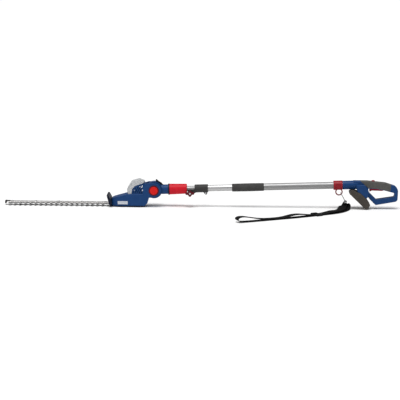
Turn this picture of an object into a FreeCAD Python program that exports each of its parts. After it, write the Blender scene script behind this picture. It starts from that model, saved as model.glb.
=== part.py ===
import FreeCAD, Part
import math
import os

# Cordless pole hedge trimmer, millimetres. It stands on the flat base of its cutting
# head and on the lowest edge of its battery. +X runs from the blade to the handle,
# +Z is up, and the origin is on the head's flat base, below the gear axle.
#
# Two frames are used. Pieces of the cutting head are drawn where they stand. Pieces of
# the pole and the handle are drawn in the pole frame, whose origin is the tilt pivot
# and whose +X is the pole's axis, and on_pole() then sets them down.

V = FreeCAD.Vector
X_AXIS, Y_AXIS, Z_AXIS = V(1, 0, 0), V(0, 1, 0), V(0, 0, 1)

# ---- fits and gaps
RUN_GAP = 0.05          # radial gap of a pin that turns in its bore
SLIDE_GAP = 0.3         # gap between pieces that slide or turn past each other
SHELL_WALL = 2.5        # moulded casings
SCREW_RADIUS, SCREW_HEAD_RADIUS, SCREW_SINK = 1.8, 3.4, 3.2

# ---- cutting head
BASE_THICK = 6.0
BASE_FRONT, BASE_REAR = -88.0, 66.0
BASE_HALF_WIDTH = 36.0
CASE_HALF_WIDTH = 35.0
CASE_FRONT_HEIGHT = 41.0
CASE_REAR_HEIGHT = 62.0
CASE_REAR = 89.0
HOUSING_HALF_WIDTH = 27.0
HOUSING_HEIGHT = 119.0
VENT_COUNT = 5
GUARD_HALF_WIDTH = 47.0
GUARD_THICK = 8.0
GUARD_LEAN = 24.0       # how far the guard's top stands ahead of its foot
GUARD_HEIGHT = 58.0
SCREEN_WALL = 2.4       # the clear screen ahead of the motor housing
SCREEN_HALF_WIDTH = 30.0

# ---- blades
BLADE_TIP = -594.0
BLADE_THICK = 2.0
BLADE_GAP = 0.1         # between one flat plate and the next
BLADE_LEVEL = 11.2      # underside of the lower blade
SPINE_HALF_WIDTH = 14.0
TOOTH_REACH = 33.0
TOOTH_PITCH = 24.3
TEETH_END = 44.0        # the last tooth stands this far ahead of the base plate
TOOTH_ROOT, TOOTH_TIP = 15.0, 6.5
STROKE_HALF = 6.0
BAR_HALF_WIDTH = 12.0
BAR_THICK = 3.0
PLATE_THICK = 3.0       # plate that joins the bar to the gearcase
BLADE_BOLT_RADIUS = 3.0
BLADE_BOLTS_END = 32.0  # the last bolt outside the head stands this far ahead of it
BLADE_BOLT_COUNT = 5

# ---- drive
GEAR_X = 0.0
GEAR_MODULE = 1.25
GEAR_TEETH, PINION_TEETH = 44, 11
GEAR_FACE = 8.0
GEAR_AXLE_RADIUS = 4.0
ECCENTRIC_RADIUS = 12.0
YOKE_SPARE = 1.4        # side room of an eccentric in its yoke window
MOTOR_RADIUS, MOTOR_LENGTH = 17.5, 48.0
MOTOR_BORE = 13.0
MOTOR_SHAFT_RADIUS = 2.5

# ---- tilt pivot
PIVOT_X, PIVOT_HEIGHT = 110.0, 80.0
PIVOT_BOLT_RADIUS = 6.0
CHEEK_RADIUS = 34.0
CHEEK_OUTER = 35.0
LUG_HALF_WIDTH = 20.0
LUG_RADIUS = 39.0
LOCK_DISC_RADIUS = 31.0
LOCK_DISC_HALF = 2.5
NOTCH_STEP = 15.0
BUTTON_RADIUS = 18.5
BUTTON_TRAVEL = 3.0
RING_RADIUS, RING_HEIGHT = 24.0, 3.0
LEVER_ANGLE = 52.0      # where the lever's nose points at the lock disc, above the pole
LEVER_HALF = 4.0
LEVER_PIN = (40.0, 20.5)
LEVER_PIN_RADIUS, LEVER_PIN_HALF = 1.5, 7.5

# ---- neck, sleeve and tubes, in the pole frame
INNER_TUBE_RADIUS, TUBE_WALL = 13.0, 1.3
SPIGOT_RADIUS, SPIGOT_END = INNER_TUBE_RADIUS + 5.0, 110.0
NECK_RADIUS = SPIGOT_RADIUS + 4.5
NECK_END = 67.0
FLANGE_RADIUS, FLANGE_LENGTH = SPIGOT_RADIUS + 8.5, 6.0
SLEEVE_END = 155.0
SLEEVE_FRONT_RADIUS, SLEEVE_REAR_RADIUS = SPIGOT_RADIUS + 7.5, SPIGOT_RADIUS + 5.5
INNER_TUBE_START, INNER_TUBE_END = 52.0, 825.0
FRONT_TUBE_WALL = 1.2
FRONT_TUBE_RADIUS = INNER_TUBE_RADIUS + 0.6 + FRONT_TUBE_WALL
REAR_TUBE_RADIUS = FRONT_TUBE_RADIUS + 0.2 + TUBE_WALL
COLLAR_START, COLLAR_END = 191.0, 254.0
COLLAR_RADIUS = FRONT_TUBE_RADIUS + 4.2
FOAM_START, FOAM_END = 367.0, 517.0
FOAM_RADIUS = REAR_TUBE_RADIUS + 2.7
TUBE_JOINT_START, TUBE_JOINT_END = 440.0, 560.0
REAR_TUBE_END = 925.0
KNOB_X, KNOB_Z = 169.0, -INNER_TUBE_RADIUS - 5.5
CLAMP_SCREW_Z = -FRONT_TUBE_RADIUS - 7.2
KNOB_REACH = 21.0
KNOB_INNER, KNOB_OUTER = 24.5, 36.0

# ---- strap clamp
STRAP_CLAMP_START, STRAP_CLAMP_END = 843.0, 885.0
STRAP_CLAMP_RADIUS = REAR_TUBE_RADIUS + 5.7
EYE_MAJOR, EYE_MINOR = 14.75, 2.9
EYE_X, EYE_Z = 868.5, -STRAP_CLAMP_RADIUS - 9.5
WEBBING_WIDTH, WEBBING_THICK = 38.0, 2.0
HOOK_BASE = (EYE_X + 30.5, -81.0)
HOOK_HEIGHT = 50.0
HOOK_WIRE = 1.8
HOOK_BASE_HALF, HOOK_NOSE_HALF = WEBBING_WIDTH / 2 + 3, 9.0
GATE_LOW, GATE_HIGH = 18.0, 37.0
EYE_SIDE = 9.0          # straight sides of the loop that holds the webbing

# Each point of the strap's middle line: X, Y, height, and the heading of its width in
# degrees from +Y towards -X. It leaves the hook's base bar, runs along the floor, turns
# back in an open fold and returns on top of itself to the same bar.
STRAP_ROUTE = [
    (1017.2, 0, 26, 0), (1018.5, -2, 18, 12), (1017, -12, 10.5, 45), (1012, -32, 4.0, 72),
    (1002, -62, 1.7, 62), (968, -116, 1.5, 47), (905, -166, 1.4, 35), (830, -214, 1.4, 32),
    (750, -262, 1.4, 30), (680, -300, 1.4, 28), (610, -337, 1.4, 27), (565, -360, 1.5, 27),
    (530, -378, 3.0, 27), (509, -389, 9, 27), (503, -392, 17, 27), (511, -388, 24, 27),
    (533, -377, 25, 27), (562, -362, 19, 27), (595, -345, 12, 27), (632, -325, 7, 27),
    (680, -299, 5.5, 28), (720, -277, 8, 29), (760, -254, 14, 30), (800, -230, 12, 31),
    (838, -206, 5.6, 32), (868, -187, 4.6, 33), (905, -162, 6.5, 35), (940, -136, 11, 42),
    (970, -103, 9, 57), (987, -64, 9, 71), (995, -28, 12, 72), (999, -8, 17, 40),
    (1001, -0.5, 23, 10), (1005, 0, 31, 0), (1011.3, 0, 35.2, 0), (1016.6, 0, 32, 0)]
STRAP_STATIONS = 150

# ---- handle, in the pole frame
HANDLE_START = 886.0
HANDLE_END = 1143.0
HANDLE_HALF_WIDTH = 17.0
BARREL_RADIUS = REAR_TUBE_RADIUS + 4.2
FOOT_HALF_WIDTH = 33.0
GRIP_SKIN = 2.2
TRIGGER_HALF = 6.5
TRIGGER_PIN = (1078.0, -21.5)
LOCK_OFF_AT = (1029.0, 17.0)
LOCK_OFF_HALF_LENGTH, LOCK_OFF_HALF_WIDTH = 7.0, 4.0

# ---- battery, in its own frame: u along its length, v up through its thickness
BATTERY_CORNER = (913.5, -BARREL_RADIUS - 14.0)
BATTERY_SLOPE = 45.8    # degrees below the pole's axis
BATTERY_LENGTH = 115.0
BATTERY_THICK = 38.0
BATTERY_HALF_WIDTH = 36.0
PACK_NOSE_DROP, PACK_NOSE_RUN = 17.0, 40.0   # the slanted front of the pack's top
DOCK_END = 77.0
RAIL_HEIGHT = 5.5
RAIL_START, RAIL_END = 41.0, 75.0
RAIL_HALF, RAIL_LIP = 20.0, 24.0
PACK_CORNER = 5.0
LID_SPLIT = 20.5
LATCH_HALF, LATCH_THICK, LATCH_TRAVEL = 14.0, 3.0, 3.0
CELL_RADIUS, CELL_LENGTH, CELL_COUNT = 9.0, 64.0, 5


# ------------------------------------------------------------------ helpers
def box(x0, x1, y0, y1, z0, z1):
    return Part.makeBox(x1 - x0, y1 - y0, z1 - z0, V(x0, y0, z0))


def rod(radius, start, direction, length):
    return Part.makeCylinder(radius, length, start, direction)


def tube(outer, inner, x0, x1):
    """A tube along X."""
    return rod(outer, V(x0, 0, 0), X_AXIS, x1 - x0).cut(
        rod(inner, V(x0 - 1, 0, 0), X_AXIS, x1 - x0 + 2))


def rounded_wire(corners, point):
    """A closed outline whose corners (a, b, radius) are rounded by tangent arcs."""
    count = len(corners)
    starts, mids, ends = [], [], []
    for i in range(count):
        a, b, radius = corners[i]
        here = V(a, b, 0)
        back = V(*corners[i - 1][:2], 0) - here
        ahead = V(*corners[(i + 1) % count][:2], 0) - here
        half = back.getAngle(ahead) / 2
        back.normalize()
        ahead.normalize()
        trim = radius / math.tan(half)
        middle = back + ahead
        middle.normalize()
        reach = radius / math.sin(half) - radius
        starts.append(here + back * trim)
        mids.append(here + middle * reach)
        ends.append(here + ahead * trim)
    edges = []
    for i in range(count):
        if corners[i][2] > 0:
            arc = Part.Arc(point(starts[i]), point(mids[i]), point(ends[i]))
            edges.append(arc.toShape())
        after = (i + 1) % count
        if ends[i].distanceToPoint(starts[after]) > 1e-6:
            edges.append(Part.LineSegment(point(ends[i]), point(starts[after])).toShape())
    return Part.Wire(edges)


def side_prism(corners, y0, y1):
    """An outline in X and Z, carried along Y."""
    wire = rounded_wire(corners, lambda p: V(p.x, y0, p.y))
    return Part.Face(wire).extrude(V(0, y1 - y0, 0))


def plan_prism(corners, z0, z1):
    """An outline in X and Y, carried along Z."""
    wire = rounded_wire(corners, lambda p: V(p.x, p.y, z0))
    return Part.Face(wire).extrude(V(0, 0, z1 - z0))


def shrunk_prism(corners, wall, y0, y1):
    """side_prism with its outline moved inwards by the wall."""
    wire = rounded_wire(corners, lambda p: V(p.x, y0, p.y))
    inner = Part.Face(wire).makeOffset2D(-wall)
    return Part.Face(inner.Wires[0]).extrude(V(0, y1 - y0, 0))


def rim_fillet(solid, radius, half_width):
    """Rounds the two rims of a solid that lie in the planes y = -half_width and +half_width."""
    rim = []
    for edge in solid.Edges:
        low, high = edge.BoundBox.YMin, edge.BoundBox.YMax
        if high - low < 1e-4 and abs(abs(low) - half_width) < 1e-4:
            rim.append(edge)
    return solid.makeFillet(radius, rim)


def halves(shell, reach=2000.0):
    """The halves of a casing, split along its middle plane: left is -Y, right is +Y."""
    left = shell.common(box(-reach, reach, -reach, 0, -reach, reach))
    right = shell.common(box(-reach, reach, 0, reach, -reach, reach))
    return left, right


def union(solids):
    whole = solids[0].multiFuse(solids[1:]) if len(solids) > 1 else solids[0]
    return whole.removeSplitter()


def bent_rod(points, radius):
    """A round wire through a few points, with ball corners."""
    pieces = []
    for start, end in zip(points[:-1], points[1:]):
        run = end - start
        pieces.append(rod(radius, start, run, run.Length))
    for corner in points[1:-1]:
        pieces.append(Part.makeSphere(radius, corner))
    return union(pieces)


def polyhedron(rings):
    """A closed solid through rings of points, with flat triangles between them."""
    faces = []

    def add(a, b, c):
        faces.append(Part.Face(Part.makePolygon([a, b, c, a])))

    size = len(rings[0])
    for near, far in zip(rings[:-1], rings[1:]):
        for i in range(size):
            j = (i + 1) % size
            add(near[i], near[j], far[j])
            add(near[i], far[j], far[i])
    for ring in (rings[0], rings[-1]):
        for i in range(1, size - 1):
            add(ring[0], ring[i], ring[i + 1])
    solid = Part.Solid(Part.Shell(faces))
    if solid.Volume < 0:
        solid.reverse()
    return solid


def coil_spring(base, axis, side, radius, wire, length, turns):
    """A round-wire compression spring from base along axis. side is any direction across."""
    across = axis.cross(side)
    steps = 14 * turns
    corners = 6
    rings = []
    for i in range(steps + 1):
        turn = 2 * math.pi * turns * i / steps
        out = side * math.cos(turn) + across * math.sin(turn)
        centre = base + axis * (wire + (length - 2 * wire) * i / steps) + out * radius
        ring = []
        for j in range(corners):
            lean = 2 * math.pi * j / corners
            ring.append(centre + out * (wire * math.cos(lean)) + axis * (wire * math.sin(lean)))
        rings.append(ring)
    return polyhedron(rings)



# ------------------------------------------------------------------ worked-out places
upper_blade_z = BLADE_LEVEL + BLADE_THICK + BLADE_GAP
bar_z = upper_blade_z + BLADE_THICK + BLADE_GAP
plate_z = bar_z + BAR_THICK
gear_z = plate_z + PLATE_THICK + 0.8
blade_slot_half = BLADE_BOLT_RADIUS + STROKE_HALF + 0.4
window_half = ECCENTRIC_RADIUS + YOKE_SPARE
window_reach = ECCENTRIC_RADIUS + STROKE_HALF + 0.6
yoke_half_width = window_reach + 6
yoke_half_length = window_half + 7
gear_radius = GEAR_MODULE * GEAR_TEETH / 2
pinion_radius = GEAR_MODULE * PINION_TEETH / 2
motor_x = GEAR_X + gear_radius + pinion_radius
motor_z = gear_z + GEAR_FACE + 8
axle_top = gear_z + GEAR_FACE + 6
pivot = V(PIVOT_X, 0, PIVOT_HEIGHT)
yoke_gap = SLIDE_GAP + 0.2
parts = {}


# ------------------------------------------------------------------ cutting head
def head_outline():
    """Side view of the gearcase and the motor housing above it."""
    case = [(BASE_FRONT, BASE_THICK, 0), (BASE_FRONT, CASE_FRONT_HEIGHT, 10),
            (-12, CASE_REAR_HEIGHT, 12), (CASE_REAR - 2, CASE_REAR_HEIGHT, 4),
            (CASE_REAR, 50, 4), (CASE_REAR - 9, 19, 8), (BASE_REAR, BASE_THICK, 0)]
    top = HOUSING_HEIGHT
    housing = [(-1, 40, 0), (1, 60, 8), (8, top - 31, 8), (18, top - 17, 8), (60, top, 6),
               (72, top - 11, 5), (80, 84, 6), (80, 40, 0)]
    return case, housing


def cheek_outline():
    """Side view of the arms that carry the pivot bolt: flat against the housing, round
    about the bolt."""
    return [(58, 52, 4), (58, 106, 10), (PIVOT_X - 26, PIVOT_HEIGHT + CHEEK_RADIUS, 16),
            (PIVOT_X + CHEEK_RADIUS, PIVOT_HEIGHT + CHEEK_RADIUS, CHEEK_RADIUS - 0.5),
            (PIVOT_X + CHEEK_RADIUS, PIVOT_HEIGHT - CHEEK_RADIUS, CHEEK_RADIUS - 0.5),
            (PIVOT_X - 24, PIVOT_HEIGHT - CHEEK_RADIUS, 9)]


def blade_slot_gap(z0, z1, half_width):
    return box(BASE_FRONT - 1, BASE_FRONT + SHELL_WALL + 1, -half_width, half_width, z0, z1)


def make_gearcase():
    case, housing = head_outline()
    taper = plan_prism([(BASE_FRONT, -26, 8), (BASE_FRONT + 34, -CASE_HALF_WIDTH, 20),
                        (CASE_REAR + 1, -CASE_HALF_WIDTH, 10),
                        (CASE_REAR + 1, CASE_HALF_WIDTH, 10),
                        (BASE_FRONT + 34, CASE_HALF_WIDTH, 20), (BASE_FRONT, 26, 8)],
                       0, 140)
    body = rim_fillet(side_prism(case, -CASE_HALF_WIDTH, CASE_HALF_WIDTH), 3.0,
                      CASE_HALF_WIDTH).common(taper)
    motor_house = rim_fillet(
        side_prism(housing, -HOUSING_HALF_WIDTH, HOUSING_HALF_WIDTH), 4, HOUSING_HALF_WIDTH)
    cheeks = []
    for y0 in (-CHEEK_OUTER, LUG_HALF_WIDTH + yoke_gap):
        cheek = side_prism(cheek_outline(), y0, y0 + CHEEK_OUTER - LUG_HALF_WIDTH - yoke_gap)
        cheeks.append(cheek)
    outer = union([body, motor_house] + cheeks)
    yoke = rod(LUG_RADIUS + 1.5, V(PIVOT_X, -LUG_HALF_WIDTH - yoke_gap, PIVOT_HEIGHT), Y_AXIS,
               2 * (LUG_HALF_WIDTH + yoke_gap))
    outer = outer.cut(yoke)

    narrower = plan_prism([(BASE_FRONT + SHELL_WALL, -22, 6),
                           (BASE_FRONT + 36, -CASE_HALF_WIDTH + SHELL_WALL, 18),
                           (CASE_REAR, -CASE_HALF_WIDTH + SHELL_WALL, 8),
                           (CASE_REAR, CASE_HALF_WIDTH - SHELL_WALL, 8),
                           (BASE_FRONT + 36, CASE_HALF_WIDTH - SHELL_WALL, 18),
                           (BASE_FRONT + SHELL_WALL, 22, 6)], 0, 140)
    room_half = CASE_HALF_WIDTH - SHELL_WALL
    room = shrunk_prism(case, SHELL_WALL, -room_half, room_half).common(narrower)
    room = room.fuse(box(BASE_FRONT + 6, BASE_REAR - 5, -23, 23, BASE_THICK - 1, BLADE_LEVEL))
    house_half = HOUSING_HALF_WIDTH - SHELL_WALL
    room = room.fuse(shrunk_prism(housing, SHELL_WALL, -house_half, house_half))
    keep_out = rod(LUG_RADIUS + 1.5 + SHELL_WALL, V(PIVOT_X, -100, PIVOT_HEIGHT), Y_AXIS, 200)
    room = room.cut(keep_out)
    shell = outer.cut(room)
    shell = shell.cut(blade_slot_gap(bar_z - 8, plate_z + 0.4, SPINE_HALF_WIDTH + 1.2))
    shell = shell.cut(rod(PIVOT_BOLT_RADIUS, V(PIVOT_X, -60, PIVOT_HEIGHT), Y_AXIS, 120))
    shell = shell.cut(rod(11, V(PIVOT_X, CHEEK_OUTER - 5, PIVOT_HEIGHT), Y_AXIS, 10))
    shell = shell.cut(vent_slots())
    shell = shell.cut(box(-60, -12, -CASE_HALF_WIDTH - 1, -CASE_HALF_WIDTH + 0.9, 13, 29))
    shell = shell.fuse(screw_posts(outer))
    for x, z, half_width in head_screw_places():
        shell = shell.cut(rod(SCREW_RADIUS, V(x, -half_width + 6, z), Y_AXIS, 100))
        shell = shell.cut(rod(SCREW_HEAD_RADIUS + 0.3, V(x, half_width - SCREW_SINK, z),
                              Y_AXIS, 20))
    left, right = halves(shell)
    parts["gearcase_left_shell"] = left
    parts["gearcase_right_shell"] = right


def head_screw_places():
    """Each screw's X and Z, and the casing's half width there."""
    return [(-70, 36, 30), (-30, 50, CASE_HALF_WIDTH), (9, 69, HOUSING_HALF_WIDTH),
            (62, 106, HOUSING_HALF_WIDTH), (76, 30, CASE_HALF_WIDTH)]


def screw_posts(outer):
    """Posts inside the casing that the head screws bite into."""
    posts = []
    for x, z, half_width in head_screw_places():
        post = rod(SCREW_HEAD_RADIUS + 1.8, V(x, -half_width + 1, z), Y_AXIS,
                   2 * half_width - 2)
        posts.append(post.common(outer))
    return union(posts)


def casing_screws(places):
    """Pan-head screws driven from the +Y side, one at each place."""
    screws = []
    for x, z, half_width in places:
        seat = half_width - SCREW_SINK
        stem = rod(SCREW_RADIUS, V(x, -half_width + 8, z), Y_AXIS, half_width - 8 + seat)
        head = rod(SCREW_HEAD_RADIUS, V(x, seat, z), Y_AXIS, 2.2)
        socket = rod(1.4, V(x, seat + 1, z), Y_AXIS, 2)
        screws.append(union([stem, head]).cut(socket))
    return screws


def vent_slots():
    """Slanted grooves through the motor housing's side walls, taller towards the rear."""
    slots = []
    for i in range(VENT_COUNT):
        x = 12 + 9.5 * i
        top = HOUSING_HEIGHT - 27 + 3.6 * i
        lean = 0.42 * (top - 67)
        groove = [(x, 67, 1.3), (x + lean, top, 1.3), (x + lean + 3.0, top, 1.3),
                  (x + 3.0, 67, 1.3)]
        slots.append(side_prism(groove, -HOUSING_HALF_WIDTH - 1, HOUSING_HALF_WIDTH + 1))
    return union(slots)


def make_base_plate():
    plate = plan_prism([(BASE_FRONT, -27, 8), (BASE_FRONT + 34, -BASE_HALF_WIDTH, 20),
                        (BASE_REAR, -BASE_HALF_WIDTH, 12), (BASE_REAR, BASE_HALF_WIDTH, 12),
                        (BASE_FRONT + 34, BASE_HALF_WIDTH, 20), (BASE_FRONT, 27, 8)],
                       0, BASE_THICK)
    boss = rod(9, V(GEAR_X, 0, BASE_THICK - 1), Z_AXIS, BLADE_LEVEL - BASE_THICK - 0.6)
    plate = plate.fuse(boss)
    plate = plate.cut(rod(GEAR_AXLE_RADIUS, V(GEAR_X, 0, 3), Z_AXIS, 20))
    parts["base_plate"] = plate.removeSplitter()


def make_front_guard():
    top_x = BASE_FRONT - GUARD_LEAN
    profile = [(BASE_FRONT - GUARD_THICK + 1, 2, 1.5), (top_x, GUARD_HEIGHT, 3.4),
               (top_x + GUARD_THICK, GUARD_HEIGHT + 2, 3.4), (BASE_FRONT, 30, 6),
               (BASE_FRONT, 2, 1.5)]
    outline = [(-GUARD_HALF_WIDTH, 6, 6), (-GUARD_HALF_WIDTH, GUARD_HEIGHT + 4, 16),
               (GUARD_HALF_WIDTH, GUARD_HEIGHT + 4, 16), (GUARD_HALF_WIDTH, 6, 6),
               (24, 0, 6), (-24, 0, 6)]
    wire = rounded_wire(outline, lambda p: V(-140, p.x, p.y))
    face_on = Part.Face(wire).extrude(V(100, 0, 0))
    guard = side_prism(profile, -60, 60).common(face_on)
    slot = box(-140, BASE_FRONT + 1, -SPINE_HALF_WIDTH - 1.2, SPINE_HALF_WIDTH + 1.2,
               bar_z - 8, plate_z + 5.5)
    parts["front_guard"] = guard.cut(slot)


def make_clear_screen():
    """A hood of clear plastic ahead of and above the motor housing."""
    top = HOUSING_HEIGHT
    hood = [(-10, 56, 0), (-18, 84, 12), (4, top, 14), (40, top + 11, 16), (65, top + 1, 4),
            (64, top - 4, 0), (19, top - 20, 6), (9, top - 34, 6), (4, 57, 0)]
    inner_half = HOUSING_HALF_WIDTH + 0.4
    outer = rim_fillet(side_prism(hood, -SCREEN_HALF_WIDTH, SCREEN_HALF_WIDTH), 2.0,
                       SCREEN_HALF_WIDTH)
    inner = shrunk_prism(hood, SCREEN_WALL, -inner_half, inner_half)
    housing = head_outline()[1]
    house = side_prism(housing, -inner_half, inner_half)
    back = [(16, 70, 0), (16, top - 9, 0), (60, top - 3, 0), (62, top - 15, 0), (30, 84, 0)]
    opening = side_prism(back, -inner_half, inner_half)
    case_top = side_prism(head_outline()[0], -CASE_HALF_WIDTH, CASE_HALF_WIDTH)
    foot = [(-9, 50, 0), (-12, 66, 0), (6, 66, 0), (8, 50, 0)]
    foot_opening = side_prism(foot, -inner_half, inner_half)
    screen = outer.cut(inner).cut(house).cut(opening).cut(case_top).cut(foot_opening)
    parts["clear_screen"] = max(screen.Solids, key=lambda s: s.Volume)


def make_badge():
    face = -CASE_HALF_WIDTH + 0.9
    plate = side_prism([(-59.5, 13.5, 2), (-59.5, 28.5, 2), (-12.5, 28.5, 2), (-12.5, 13.5, 2)],
                       face - 1.3, face)
    parts["badge_plate"] = plate


# ------------------------------------------------------------------ blades and drive
def blade_bolt_places():
    first = BLADE_TIP + 34
    pitch = (BASE_FRONT - BLADE_BOLTS_END - first) / (BLADE_BOLT_COUNT - 1)
    along = [first + pitch * i for i in range(BLADE_BOLT_COUNT)]
    return along + [BASE_FRONT + 12, BASE_FRONT + 36]


def tooth(x, side):
    half_root, half_tip = TOOTH_ROOT / 2, TOOTH_TIP / 2
    root = side * (SPINE_HALF_WIDTH - 2)
    tip = side * TOOTH_REACH
    return [(x - half_root, root), (x - half_tip, tip - side * 2), (x - half_tip + 2, tip),
            (x + half_tip - 2, tip), (x + half_tip, tip - side * 2), (x + half_root, root)]


def make_blade(name, z):
    nose, rear = BLADE_TIP + 14, GEAR_X + yoke_half_length
    spine = plan_prism([(nose, -SPINE_HALF_WIDTH, 9), (nose, SPINE_HALF_WIDTH, 9),
                        (GEAR_X, SPINE_HALF_WIDTH, 0), (GEAR_X, -SPINE_HALF_WIDTH, 0)],
                       z, z + BLADE_THICK)
    yoke = plan_prism([(GEAR_X - yoke_half_length, -yoke_half_width, 5),
                       (rear, -yoke_half_width, 5), (rear, yoke_half_width, 5),
                       (GEAR_X - yoke_half_length, yoke_half_width, 5)],
                      z, z + BLADE_THICK)
    teeth = []
    first = BLADE_TIP + 24
    count = 1 + int((BASE_FRONT - TEETH_END - first) / TOOTH_PITCH)
    for i in range(count):
        for side in (-1, 1):
            corners = [V(a, b, z) for a, b in tooth(first + TOOTH_PITCH * i, side)]
            face = Part.Face(Part.makePolygon(corners + corners[:1]))
            teeth.append(face.extrude(V(0, 0, BLADE_THICK)))
    blade = union([spine, yoke] + teeth)
    window = plan_prism([(GEAR_X - window_half, -window_reach, 3),
                         (GEAR_X + window_half, -window_reach, 3),
                         (GEAR_X + window_half, window_reach, 3),
                         (GEAR_X - window_half, window_reach, 3)], z - 1, z + BLADE_THICK + 1)
    blade = blade.cut(window)
    half = BLADE_BOLT_RADIUS + 0.3
    for x in blade_bolt_places():
        slot = plan_prism([(x - blade_slot_half, -half, half - 0.01),
                           (x - blade_slot_half, half, half - 0.01),
                           (x + blade_slot_half, half, half - 0.01),
                           (x + blade_slot_half, -half, half - 0.01)],
                          z - 1, z + BLADE_THICK + 1)
        blade = blade.cut(slot)
    parts[name] = blade


def make_bar_and_fasteners():
    bar = plan_prism([(BLADE_TIP + 7, -BAR_HALF_WIDTH, 3), (BLADE_TIP + 7, BAR_HALF_WIDTH, 3),
                      (BASE_FRONT + 52, BAR_HALF_WIDTH, 3), (BASE_FRONT + 52, -BAR_HALF_WIDTH, 3)],
                     bar_z, plate_z)
    plate = plan_prism([(BASE_FRONT + 4, -18, 4), (BASE_FRONT + 30, -26, 6),
                        (GEAR_X + 27, -26, 6), (GEAR_X + 27, 26, 6),
                        (BASE_FRONT + 30, 26, 6), (BASE_FRONT + 4, 18, 4)],
                       plate_z, plate_z + PLATE_THICK)
    sweep = ECCENTRIC_RADIUS + STROKE_HALF + 1
    plate = plate.cut(rod(sweep, V(GEAR_X, 0, plate_z - 1), Z_AXIS, PLATE_THICK + 2))
    bolts, nuts = [], []
    for x in blade_bolt_places():
        hole = rod(BLADE_BOLT_RADIUS, V(x, 0, BLADE_LEVEL - 5), Z_AXIS, 30)
        bar = bar.cut(hole)
        inside = x > BASE_FRONT
        if inside:
            plate = plate.cut(hole)
        top = plate_z + (PLATE_THICK if inside else 0)
        stem_end = top + 3.2
        head = rod(6.0, V(x, 0, BLADE_LEVEL - 2.3), Z_AXIS, 2.0)
        stem = rod(BLADE_BOLT_RADIUS, V(x, 0, BLADE_LEVEL - 1), Z_AXIS,
                   stem_end - BLADE_LEVEL + 1)
        bolts.append(union([head, stem]))
        nut = Part.Face(Part.makePolygon(
            [V(x + 5.2 * math.cos(math.pi * k / 3), 5.2 * math.sin(math.pi * k / 3), top)
             for k in range(7)])).extrude(V(0, 0, 2.8))
        nuts.append(nut.cut(hole))
    parts["blade_bar"] = bar
    parts["gear_plate"] = plate
    parts["blade_bolts"] = Part.makeCompound(bolts)
    parts["blade_nuts"] = Part.makeCompound(nuts)


def make_tip_guard():
    nose = plan_prism([(BLADE_TIP, -13, 5), (BLADE_TIP, 13, 5), (BLADE_TIP + 6.6, 17, 1),
                       (BLADE_TIP + 6.6, -17, 1)], BLADE_LEVEL - 3, plate_z + 2)
    tongue = plan_prism([(BLADE_TIP + 5, -10, 0), (BLADE_TIP + 5, 10, 0),
                         (BLADE_TIP + 25, 8, 3), (BLADE_TIP + 25, -8, 3)], plate_z, plate_z + 2)
    parts["tip_guard"] = union([nose, tongue])


def gear_blank(x, teeth, z0, z1, phase):
    """A spur gear with straight-flanked teeth, thinned for backlash."""
    pitch_radius = GEAR_MODULE * teeth / 2
    root, tip = pitch_radius - 1.3 * GEAR_MODULE, pitch_radius + 0.85 * GEAR_MODULE
    step = 2 * math.pi / teeth
    corners = []
    for i in range(teeth):
        middle = phase + step * i
        for radius, share in ((root, -0.33), (tip, -0.11), (tip, 0.11), (root, 0.33)):
            angle = middle + step * share
            corners.append(V(x + radius * math.cos(angle), radius * math.sin(angle), z0))
    return Part.Face(Part.makePolygon(corners + corners[:1])).extrude(V(0, 0, z1 - z0))


def make_drive():
    top = gear_z + GEAR_FACE
    gear = gear_blank(GEAR_X, GEAR_TEETH, gear_z, top, 0)
    upper = rod(ECCENTRIC_RADIUS, V(GEAR_X, STROKE_HALF, upper_blade_z), Z_AXIS,
                gear_z - upper_blade_z + 1)
    lower = rod(ECCENTRIC_RADIUS, V(GEAR_X, -STROKE_HALF, BLADE_LEVEL), Z_AXIS,
                upper_blade_z - BLADE_LEVEL)
    gear = union([gear, upper, lower])
    gear = gear.cut(rod(GEAR_AXLE_RADIUS + RUN_GAP, V(GEAR_X, 0, 0), Z_AXIS, 90))
    for k in range(6):
        turn = math.pi * k / 3
        gear = gear.cut(rod(3.5, V(GEAR_X + 20.5 * math.cos(turn), 20.5 * math.sin(turn),
                                   gear_z + 3), Z_AXIS, GEAR_FACE))
    parts["drive_gear"] = gear
    parts["gear_axle"] = rod(GEAR_AXLE_RADIUS, V(GEAR_X, 0, 3.2), Z_AXIS, axle_top - 3.2)
    cap = plan_prism([(GEAR_X - 30, -31, 3), (motor_x - 12, -31, 3), (motor_x - 12, 31, 3),
                      (GEAR_X - 30, 31, 3)], top + 1.5, axle_top)
    cap = cap.cut(rod(GEAR_AXLE_RADIUS, V(GEAR_X, 0, top), Z_AXIS, 20))
    parts["axle_bridge"] = cap

    half_tooth = math.pi / PINION_TEETH
    pinion = gear_blank(motor_x, PINION_TEETH, gear_z + 0.5, top, math.pi + half_tooth)
    shaft_end = motor_z + MOTOR_LENGTH + 5
    shaft = rod(MOTOR_SHAFT_RADIUS, V(motor_x, 0, gear_z + 0.5), Z_AXIS, shaft_end - gear_z - 0.5)
    collar = rod(4.5, V(motor_x, 0, top - 0.5), Z_AXIS, 3)
    rotor = rod(MOTOR_BORE - 0.5, V(motor_x, 0, motor_z + 8), Z_AXIS, MOTOR_LENGTH - 16)
    parts["motor_rotor"] = union([pinion, collar, shaft, rotor])
    can = rod(MOTOR_RADIUS, V(motor_x, 0, motor_z), Z_AXIS, MOTOR_LENGTH)
    nose = rod(8, V(motor_x, 0, motor_z - 3), Z_AXIS, 4)
    tail = rod(9, V(motor_x, 0, motor_z + MOTOR_LENGTH - 1), Z_AXIS, 4)
    motor = union([can, nose, tail])
    motor = motor.cut(rod(MOTOR_SHAFT_RADIUS + RUN_GAP, V(motor_x, 0, 0), Z_AXIS, 200))
    motor = motor.cut(rod(MOTOR_BORE, V(motor_x, 0, motor_z + 6), Z_AXIS, MOTOR_LENGTH - 12))
    parts["motor_can"] = motor


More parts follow.
